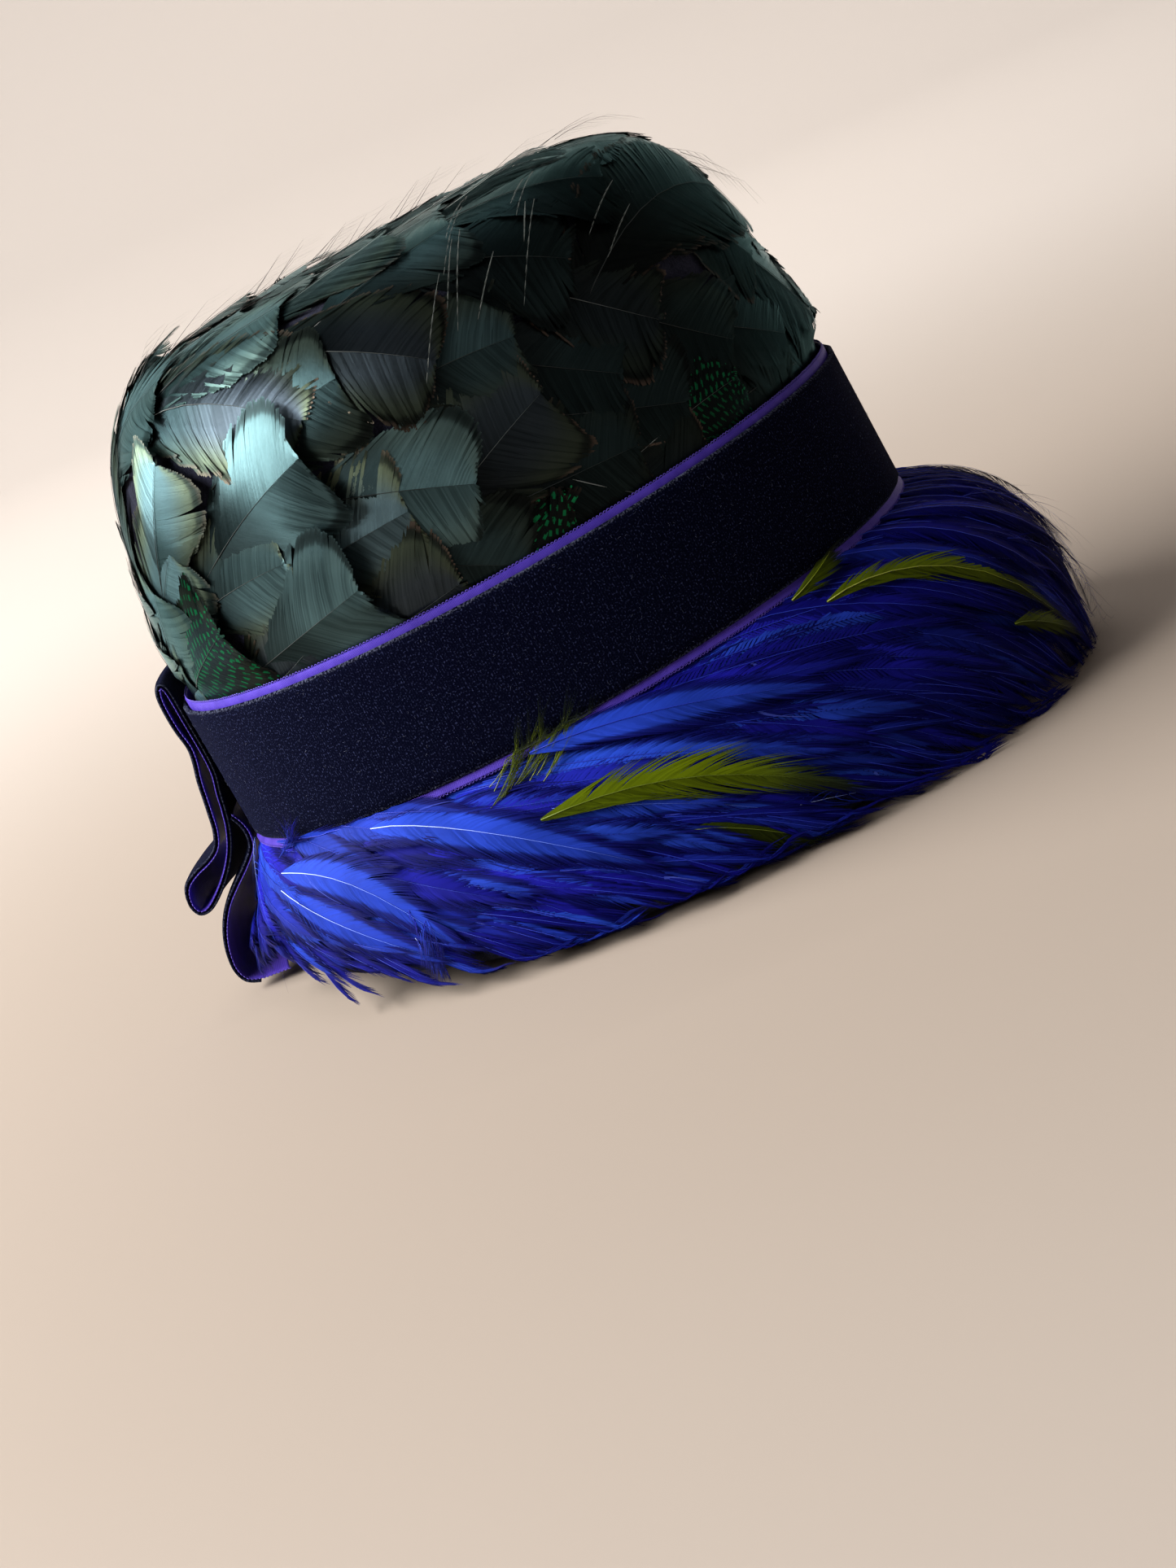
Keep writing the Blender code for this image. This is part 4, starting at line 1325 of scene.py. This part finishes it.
    def build(self, quill: bpy.types.Material) -> list[bpy.types.Object]:
        """Build the underlay, one piece for each row, the olive feathers and the wisps."""
        guide, cloth, olive = self.guide(), BLUE_PLUME.material(), OLIVE_PLUME.material()
        bright = QuillFinish("olive_quill", (0.30, 0.34, 0.06), (0.24, 0.30, 0.01),
                             (0.10, 0.14, 0.01), (0.30, 0.31)).material()
        down = self.underlay()
        down.data.materials.append(cloth)
        loose = WISPS + sum((self.tuft(model, 9, 0.014) for model in BLUE_TUFTS), ())
        groups = [(row.name, row.vane, self.shafts(row), cloth, quill, k)
                  for k, row in enumerate(self.rows)]
        groups += [
            ("hackles_olive", OLIVE_VANE, self.placed(OLIVES), olive, bright, 7),
            ("hackles_bright", BRIGHT_VANE, self.placed(BRIGHTS), cloth, quill, 6),
            ("hackles_wisps", WISP_VANE, self.placed(loose), cloth, quill, 8),
            ("wisps_olive", WISP_VANE, self.placed(self.tuft(OLIVE_TUFT, 16, 0.05)), olive, bright, 9)]
        pieces = [down]
        for name, vane, shafts, vanes, quills, k in groups:
            tree = FeatherTree(name, vane)
            pieces.append(tree.lay(name, shafts, guide, vanes, quills, self.floor, self.seed + k))
        remove(guide)
        return pieces


@dataclass
class FeltShell:
    """Felt crown and brim in one wall, open below for the head."""

    columns: int = 144
    levels: int = 26
    brim_rows: int = 9
    thickness: float = 2.0 * MM

    def wall(self, off: float) -> list[np.ndarray]:
        """Rings of one face of the wall, from the crown's top to the brim's edge."""
        angle = turns(self.columns)
        rows = []
        rise = FORM.top + off - FORM.foot
        for step in range(self.levels - 1, -1, -1):
            turn = math.pi / 2 * math.sin(step / self.levels * math.pi / 2)
            scale = math.cos(turn) ** (2 / FORM.wall_power)
            height = FORM.foot + rise * math.sin(turn) ** (2 / FORM.rise_power)
            rows.append(FORM.leaned(FORM.ring(angle, off, height, scale), off))
        return rows + [FORM.felt_brim(angle, share, off)
                       for share in np.linspace(0, 1, self.brim_rows)]

    def build(self) -> bpy.types.Object:
        """Build the shell."""
        angle = turns(self.columns)
        edge = FORM.felt_brim(angle, 1.03, self.thickness / 2)
        rings = self.wall(self.thickness) + [edge] + self.wall(0.0)[::-1]
        tops = [FORM.leaned(np.array([[0, 0, FORM.top + off]]), off) for off in (self.thickness, 0.0)]
        points = FORM.place(np.concatenate(rings + tops))
        faces = grid_faces(len(rings), self.columns, True)
        last = (len(rings) - 1) * self.columns
        for k in range(self.columns):
            faces.append((len(points) - 2, (k + 1) % self.columns, k))
            faces.append((len(points) - 1, last + k, last + (k + 1) % self.columns))
        shell = mesh_piece("felt_shell", points, faces)
        face_out(shell)
        shell.data.materials.append(FeltFinish().material())
        return shell


def face_out(piece: bpy.types.Object) -> None:
    """Turn a closed piece's faces outwards."""
    work = bmesh.new()
    work.from_mesh(piece.data)
    bmesh.ops.recalc_face_normals(work, faces=work.faces)
    work.to_mesh(piece.data)
    work.free()


def rounded(near: float, far: float, low: float, high: float, rows: int) -> np.ndarray:
    """Section of a ribbon: a thin upright strip with rounded edges.

    Args:
        near: Distance of its inner face.
        far: Distance of its outer face.
        low: Its lower edge.
        high: Its upper edge.
        rows: Rows of points on each face.

    Returns:
        Pairs of distance and height, once round the strip.
    """
    bulge = (far - near) / 2
    side = [low + bulge * 0.8 + (high - low - 1.6 * bulge) * k / (rows - 1) for k in range(rows)]
    middle = (near + far) / 2
    outer = [(far, z) for z in side]
    inner = [(near, z) for z in reversed(side)]
    return np.array(outer + [(middle, high)] + inner + [(middle, low)])


@dataclass
class BandRibbons:
    """Velvet ribbon round the crown over a wider satin one, with looped picots and lint."""

    columns: int = 288
    rows: int = 14
    width: float = 41.0 * MM
    satin_low: float = -2.0 * MM
    satin_high: float = 42.9 * MM
    velvet: Pair = (5.8 * MM, 7.2 * MM)
    satin: Pair = (4.6 * MM, 5.4 * MM)
    flare: float = 2.4 * MM
    satin_rows: int = 18

    def ring(self, name: str, section: np.ndarray, wave: float) -> bpy.types.Object:
        """Closed ring of ribbon with a section, its edges waving a little in and out."""
        angle = turns(self.columns)[:, None]
        out, height = section[None, :, 0], section[None, :, 1]
        drift = wave * (np.sin(23 * angle) + np.sin(41 * angle + 1.3)) / 2
        points = FORM.ring(angle + 0 * out, out + drift * (height / self.width - 0.5), height)
        line = FORM.ring(angle[:, 0], section[0, 0], 0.0)
        step = np.linalg.norm(np.diff(line, axis=0, append=line[:1]), axis=1)
        run = np.concatenate([[0.0], np.cumsum(step)[:-1]])
        piece = mesh_piece(name, FORM.place(points).reshape(-1, 3),
                           grid_faces(self.columns, len(section), True, True))
        face_out(piece)
        along = np.broadcast_to(run[:, None], points.shape[:2]).ravel()
        across = np.broadcast_to(height, points.shape[:2]).ravel()
        set_uv(piece, along, across)
        return piece

    def edge(self, height: float, out: float, up: float) -> dict:
        """Ring of points along a ribbon's edge, with the way out of the edge."""
        angle = turns(self.columns)
        line = FORM.place(FORM.ring(angle, out, height))
        way = FORM.place(FORM.ring(angle, out, height + up)) - line
        return {"line": line, "way": way, "closed": True}

    def build(self, velvet: bpy.types.Material, satin: bpy.types.Material) -> dict[Slot, list]:
        """Build the two ribbons with their trims."""
        over = self.ring("velvet_ribbon", rounded(*self.velvet, 0.0, self.width, self.rows), 0.25 * MM)
        section = rounded(*self.satin, self.satin_low, self.satin_high, self.satin_rows)
        low = np.clip((MM - section[:, 1]) / (MM - self.satin_low), 0.0, 1.0)
        section[:, 0] += self.flare * low ** 2
        under = self.ring("satin_ribbon", section, 0)
        over.data.materials.append(velvet)
        under.data.materials.append(satin)
        out = sum(self.satin) / 2
        edges = [self.edge(self.satin_high, out, MM),
                 self.edge(self.satin_low, out + self.flare, -MM)]
        picots = PicotTree().lay("band_picots", edges, PICOT.material())
        lint = LintTree().lay("band_lint", over, LINT.material())
        return {Slot.VELVET: [over, lint], Slot.SATIN: [under, picots]}


class PicotTree(GeometryGraph):
    """Geometry Nodes tree that sews small looped picots along an edge."""

    LAP = 0.35

    def __init__(self) -> None:
        """Build the tree."""
        super().__init__("picots")
        step, radius, thread = (self.input(name) for name in ("Spacing", "Loop radius", "Thread radius"))
        material = self.input("Finish", "Material")
        curves = self.out("GeometryNodeMeshToCurve", {0: self.source})
        spots = self.out("GeometryNodeResampleCurve", {"Curve": curves, "Length": step}, mode="LENGTH")
        spots = self.store(spots, "ahead", self.tangent, VECTOR)
        arc = self.out("GeometryNodeCurveArc", {"Resolution": 6, "Radius": radius, "Start Angle": -self.LAP,
                                                "Sweep Angle": math.pi + 2 * self.LAP})
        turn = self.out("FunctionNodeAxesToRotation",
                        {0: self.read("ahead", VECTOR), 1: self.read("way", VECTOR)},
                        primary_axis="X", secondary_axis="Y")
        size = self.random(0.8, 1.2, self.index, 3)
        self.finish(self.swept(self.set_out(spots, arc, Rotation=turn, Scale=size), 4, thread, material))

    def lay(self, name: str, edges: list[dict], material: bpy.types.Material) -> bpy.types.Object:
        """Sew picots along some edges, each a line of points with its way out."""
        links, start = [], 0
        for edge in edges:
            count = len(edge["line"])
            last = count if edge["closed"] else count - 1
            links += [(start + i, start + (i + 1) % count) for i in range(last)]
            start += count
        mesh = bpy.data.meshes.new(name + "_edges")
        mesh.from_pydata(np.concatenate([edge["line"] for edge in edges]).tolist(), links, [])
        keep(mesh, "way", np.concatenate([edge["way"] for edge in edges]), VECTOR)
        return self.run(name, link(mesh.name, mesh), Spacing=1.15 * MM, Loop_radius=0.42 * MM,
                        Thread_radius=0.13 * MM, Finish=material)


class LintTree(GeometryGraph):
    """Geometry Nodes tree that scatters short pale hairs over a cloth."""

    LEAN = 0.35

    def __init__(self) -> None:
        """Build the tree."""
        super().__init__("lint")
        cloth = self.input("Cloth", "Object")
        density, thickness = self.input("Density"), self.input("Hair radius")
        material = self.input("Finish", "Material")
        ground = self.out("GeometryNodeObjectInfo", {"Object": cloth}, "Geometry")
        spots = self.node("GeometryNodeDistributePointsOnFaces",
                          {"Mesh": ground, "Density": density, "Seed": 5})
        points, normal = (Value(self, spots.outputs[key]) for key in ("Points", "Normal"))
        hair = self.out("GeometryNodeCurveArc", {"Resolution": 4, "Radius": 0.9 * MM, "Start Angle": 0.3,
                                                 "Sweep Angle": 1.3})
        flat = self.out("FunctionNodeAlignRotationToVector", {"Vector": normal}, axis="Z")
        turn = self.out("FunctionNodeRotateRotation", {0: flat, 1: self.spun()}, rotation_space="LOCAL")
        size = self.random(0.25, 1.0, self.index, 9)
        hairs = self.set_out(points, hair, Rotation=turn, Scale=size)
        hairs = self.store(hairs, "strand", self.random(0.0, 1.0, self.index, 4))
        self.finish(self.swept(hairs, 3, thickness, material))

    def spun(self) -> Value:
        """Random turn about each hair's own normal, leaning a little off the cloth."""
        low, high = (-self.LEAN, -self.LEAN, 0.0), (self.LEAN, self.LEAN, math.tau)
        turn = self.out("FunctionNodeRandomValue", {0: low, 1: high, "Seed": 8}, data_type=VECTOR)
        return self.out("FunctionNodeEulerToRotation", {0: turn})

    def lay(self, name: str, cloth: bpy.types.Object, material: bpy.types.Material) -> bpy.types.Object:
        """Scatter hairs over a cloth."""
        return self.run(name, mesh_piece(name, np.zeros((1, 3)), []), Cloth=cloth, Density=45000.0,
                        Hair_radius=0.030 * MM, Finish=material)


@dataclass
class Bow:
    """Flattened loop and short tail of velvet lined with satin, at the back."""

    offset: float = 12.0 * MM
    width: float = 41.0 * MM
    bend: float = 95.0 * MM
    gap: float = 0.15 * MM
    velvet: float = 1.0 * MM
    satin: float = 0.6 * MM
    strips: int = 24
    smoothing: int = 5
    velvet_out: float = 7.2 * MM
    pinch: float = 0.22
    twist: float = 11.0 * MM
    tail_points: int = 13
    loop: Table = (
        (1.55, 45.0), (1.55, 36.0), (1.55, 26.0), (2.1, 19.5), (3.7, 14.0), (4.9, 9.0),
        (6.6, 3.6), (9.6, -2.2), (14.0, -7.6), (19.4, -12.2), (23.6, -14.6), (26.3, -14.2),
        (27.2, -10.8), (25.6, -6.4), (21.6, -4.0), (16.0, -2.2), (12.2, 0.2), (9.9, 4.4),
        (8.6, 9.5), (7.6, 14.0), (6.4, 19.5), (4.7, 25.0), (4.0, 29.5), (4.6, 35.0),
        (4.7, 40.5), (4.3, 45.5), (3.1, 48.3), (2.0, 47.8))
    tail: Table = (
        (3.6, 6.2), (2.3, 3.0), (2.0, -0.5), (3.2, -4.4), (7.2, -8.2), (12.4, -12.0),
        (17.2, -15.8), (20.8, -20.0), (23.6, -25.0), (25.2, -30.0), (25.6, -34.4), (24.2, -38.0),
        (20.6, -39.9), (16.0, -40.6), (11.5, -41.0))

    def frame(self) -> tuple[np.ndarray, np.ndarray, np.ndarray]:
        """Point on the velvet behind which the bow sits, with its outward and sideways ways."""
        ratio = self.offset / (FORM.half_width + self.velvet_out) / (1 + FORM.egg)
        angle = math.pi - math.asin(ratio) + np.array([0.0, -0.005, 0.005])
        here, ahead, behind = FORM.ring(angle, self.velvet_out, 0.0)[:, :2]
        sideways = (ahead - behind) / np.linalg.norm(ahead - behind)
        return here, np.array([-sideways[1], sideways[0]]), sideways

    def smooth(self, route: Table, closed: bool) -> np.ndarray:
        """Route with more points on a smooth curve through its own."""
        line = np.array(route, float) * MM
        count = len(line)
        found = []
        for i in range(count if closed else count - 1):
            near = np.arange(i - 1, i + 3)
            a, b, c, d = line[near % count if closed else np.clip(near, 0, count - 1)]
            for k in range(self.smoothing):
                t = k / self.smoothing
                found.append(0.5 * (2 * b + (c - a) * t + (2 * a - 5 * b + 4 * c - d) * t ** 2
                                    + (3 * b - a - 3 * c + d) * t ** 3))
        return np.array(found if closed else found + [line[-1]])

    def face(self, line: np.ndarray, off: np.ndarray, closed: bool) -> np.ndarray:
        """Points of a face of the ribbon, strip edges by points of its line."""
        if closed:
            run = np.roll(line, -1, 0) - np.roll(line, 1, 0)
        else:
            run = np.gradient(line, axis=0)
        run /= np.linalg.norm(run, axis=1)[:, None]
        here, outward, sideways = self.frame()
        across = self.width * (np.arange(self.strips + 1) / self.strips - 0.5)
        rows = []
        for k, wide in enumerate(across):
            moved = line + off[k] * np.stack([-run[:, 1], run[:, 0]], 1)
            far = self.pinch * k / self.strips * np.clip(moved[:, 0] - 2 * MM, 0, None)
            stand = moved[:, 0] - far - wide ** 2 / (2 * self.bend)
            lift = moved[:, 1:].copy()
            if not closed:
                late = np.clip((np.arange(len(line)) / (7 * self.smoothing) - 1.0), 0, None)
                lift[:, 0] += self.twist * late ** 2 * k / self.strips
            rows.append(np.concatenate([here + outward * stand[:, None] + sideways * wide, lift], 1))
        return np.array(rows)

    def cloth(self, name: str, route: Table, near: float, far: float, closed: bool,
              material: bpy.types.Material) -> tuple[bpy.types.Object, np.ndarray]:
        """Ribbon between two distances from a route, with its edges rounded.

        Args:
            name: Name of the piece.
            route: Route of the bow.
            near: Distance of one face.
            far: Distance of the other face.
            closed: Whether the route closes on itself.
            material: Finish of the cloth.

        Returns:
            The piece, and the grid of its middle points.
        """
        line = self.smooth(route, closed)
        wide = np.abs(np.arange(self.strips + 1) / self.strips * 2 - 1)
        edge = np.where(wide > 0.999, 0.25, 1.0) * (far - near) / 2
        middle = (near + far) / 2
        faces_of = [self.face(line, middle + edge * sign, closed) for sign in (1, -1)]
        grid = np.concatenate([faces_of[0], faces_of[1][::-1]])
        count = grid.shape[1]
        faces = grid_faces(len(grid), count, closed, True)
        if not closed:
            last = len(grid) - 1
            for end in (0, count - 1):
                for k in range(self.strips):
                    faces.append(tuple(i * count + end for i in (k, k + 1, last - k - 1, last - k)))
        piece = mesh_piece(name, FORM.place(grid).reshape(-1, 3), faces)
        face_out(piece)
        step = np.linalg.norm(np.diff(line, axis=0), axis=1)
        run = np.concatenate([[0.0], np.cumsum(step)])
        across = self.width * np.arange(self.strips + 1) / self.strips
        across = np.concatenate([across, across[::-1]])
        set_uv(piece, np.tile(run, len(grid)), np.repeat(across, count))
        piece.data.materials.append(material)
        return piece, FORM.place(self.face(line, np.full(self.strips + 1, middle), closed))

    def edges(self, grid: np.ndarray, closed: bool) -> list[dict]:
        """Two selvages of a ribbon, for its picots."""
        return [{"line": grid[k], "way": grid[k] - grid[beside], "closed": closed}
                for k, beside in ((0, 1), (-1, -2))]

    def build(self, velvet: bpy.types.Material, satin: bpy.types.Material) -> dict[Slot, list]:
        """Build the loop and the tail."""
        loop, _ = self.cloth("loop_velvet", self.loop, -self.gap, -self.gap - self.velvet, True, velvet)
        lined, inner = self.cloth("loop_satin", self.loop, self.gap, self.gap + self.satin, True, satin)
        tail, _ = self.cloth("tail_velvet", self.tail[:self.tail_points], self.gap,
                             self.gap + self.velvet, False, velvet)
        under, lower = self.cloth("tail_satin", self.tail, -self.gap, -self.gap - self.satin, False, satin)
        picots = PicotTree().lay("bow_picots", self.edges(inner, True) + self.edges(lower, False),
                                 PICOT.material())
        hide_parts("bow_loop")
        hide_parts("bow_loop_satin")
        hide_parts("bow_tail")
        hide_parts("bow_tail_satin")
        return {Slot.VELVET: [loop, tail], Slot.SATIN: [lined, under, picots]}


def turn_between(first: np.ndarray, second: np.ndarray) -> Matrix:
    """Smallest rotation that turns one direction into another."""
    return Vector(first).rotation_difference(Vector(second)).to_matrix()


@dataclass
class Studio:
    """Pale floor, soft daylight from the back of the hat, and the camera at the photograph's angle."""

    distance: float = 1.0097
    focal: float = 4355.0
    elevation: float = math.radians(10.55)
    turn: float = math.radians(2.0)
    roll: float = math.radians(-29.06)
    aim: Pair = (704.9, 797.0)
    picture: tuple[int, int] = (1445, 1927)
    sensor: float = 36.0
    floor_colour: Colour = (0.44, 0.40, 0.37)
    # The colour near the hat is painted shade.
    painted_floor_shade: Colour = (0.30, 0.25, 0.21)
    floor_sides: int = 96

    def camera(self) -> None:
        """Camera whose view has the band's centre at the aim point of the picture."""
        out = np.array([-math.cos(self.elevation) * math.cos(self.turn),
                        -math.cos(self.elevation) * math.sin(self.turn), math.sin(self.elevation)])
        right = np.cross((0, 0, 1), out)
        right /= np.linalg.norm(right)
        look = np.stack([right, np.cross(out, right), out], 1)
        roll = np.array(Matrix.Rotation(self.roll, 3, "Z"))
        ray = np.array([(self.aim[0] - self.picture[0] / 2) / self.focal,
                        -(self.aim[1] - self.picture[1] / 2) / self.focal, -1.0])
        straight = np.array(turn_between(ray, (0, 0, -1)))
        lean = np.array(Matrix.Rotation(-FORM.lean, 3, "X"))
        turned = lean @ look @ roll @ straight
        data = bpy.data.cameras.new("camera")
        data.sensor_fit = "HORIZONTAL"
        data.sensor_width = self.sensor
        data.lens = self.sensor * self.focal / self.picture[0]
        camera = bpy.data.objects.new("camera", data)
        place = FORM.place(out * self.distance)
        camera.matrix_world = Matrix.Translation(place) @ Matrix(turned.tolist()).to_4x4()
        bpy.context.scene.collection.objects.link(camera)
        bpy.context.scene.camera = camera

    def floor(self) -> None:
        """Floor that curves up into a wall all round, far behind the hat."""
        radius = np.array([0.0, 0.5, 1.2, 2.0, 2.6, 3.1, 3.4, 3.5, 3.5])
        height = np.array([0.0, 0.0, 0.0, 0.0, 0.12, 0.42, 0.85, 1.4, 4.0])
        sides = self.floor_sides
        angle = turns(sides)
        rings = [np.stack([r * np.cos(angle), r * np.sin(angle), np.full(sides, h)], 1)
                 for r, h in zip(radius[1:], height[1:])]
        points = np.concatenate(rings + [np.zeros((1, 3))])
        faces = [face[::-1] for face in grid_faces(len(rings), sides, True)]
        faces += [(len(points) - 1, i, (i + 1) % sides) for i in range(sides)]
        stage = mesh_piece("floor", points, faces)
        shade = Shade("pale_floor")
        # Painted shade: the floor is darker and warmer near the hat, pale beyond about 1.1 m.
        far = shade.smooth(shade.vector("LENGTH", shade.place()), 0.15, 1.1)
        base = shade.blend(far, self.painted_floor_shade, self.floor_colour)
        stage.data.materials.append(shade.finish(Base_Color=base, Roughness=0.9))

    def light(self, name: str, place: Triple, size: Pair, power: float, colour: Colour,
              aim: Triple = (0.0, 0.0, 0.09)) -> None:
        """Soft light, so wide and so high, that faces the hat or another place."""
        data = bpy.data.lights.new(name, "AREA")
        data.shape = "RECTANGLE"
        data.size, data.size_y = size
        data.energy = power
        data.color = colour
        lamp = bpy.data.objects.new(name, data)
        way = Vector(aim) - Vector(place)
        lamp.matrix_world = Matrix.Translation(place) @ way.to_track_quat("-Z", "Y").to_matrix().to_4x4()
        bpy.context.scene.collection.objects.link(lamp)

    def build(self) -> None:
        """Set up the studio."""
        self.camera()
        self.floor()
        self.light("window", (-0.2, 1.4, 1.0), (2.3, 0.9), 110.0, (1.0, 0.97, 0.93))
        self.light("overhead", (0.3, 0.2, 2.2), (1.8, 1.8), 5.0, (1.0, 0.98, 0.96))
        self.light("front_fill", (-1.6, -1.4, 0.9), (1.2, 1.2), 1.5, (0.95, 0.97, 1.0))
        self.light("wall_wash", (1.2, 0.3, 2.0), (1.5, 1.0), 70.0, (1.0, 0.97, 0.94), (3.2, 0.2, 0.5))
        world = bpy.data.worlds.new("room")
        bpy.context.scene.world = world
        world.use_nodes = True
        sky = world.node_tree.nodes["Background"]
        sky.inputs[0].default_value = (0.90, 0.92, 1.0, 1)
        sky.inputs[1].default_value = 0.07


def main() -> None:
    """Dress the hat and report each piece."""
    logging.basicConfig(level=logging.INFO, format="%(message)s")
    bpy.context.scene.view_settings.view_transform = "Standard"
    Studio().build()
    dark_quill = QuillFinish("dark_quill", (0.16, 0.18, 0.18), (0.05, 0.06, 0.06),
                             (0.012, 0.016, 0.016), (0.70, 0.71)).material()
    pale_quill = QuillFinish("pale_quill", (0.40, 0.50, 0.90), (0.10, 0.18, 0.75),
                             (0.012, 0.030, 0.400), (0.15, 0.14)).material()
    velvet, satin = VelvetFinish().material(), SatinFinish().material()
    hand_over(FeltShell().build(), Slot.FELT, "felt_body")
    bands = BandRibbons().build(velvet, satin)
    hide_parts("velvet_band")
    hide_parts("satin_band")
    for made in (bands, Bow().build(velvet, satin)):
        for slot, pieces in made.items():
            for piece in pieces:
                hand_over(piece, slot)
    crown = CrownPlumage().build(dark_quill)
    for piece in crown:
        hand_over(piece, Slot.CROWN)
    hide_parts("crown_feathers")
    brim = BrimPlumage().build(pale_quill)
    for piece in brim:
        hand_over(piece, Slot.BRIM)
    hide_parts("brim_feathers")


if __name__ == "__main__":
    main()
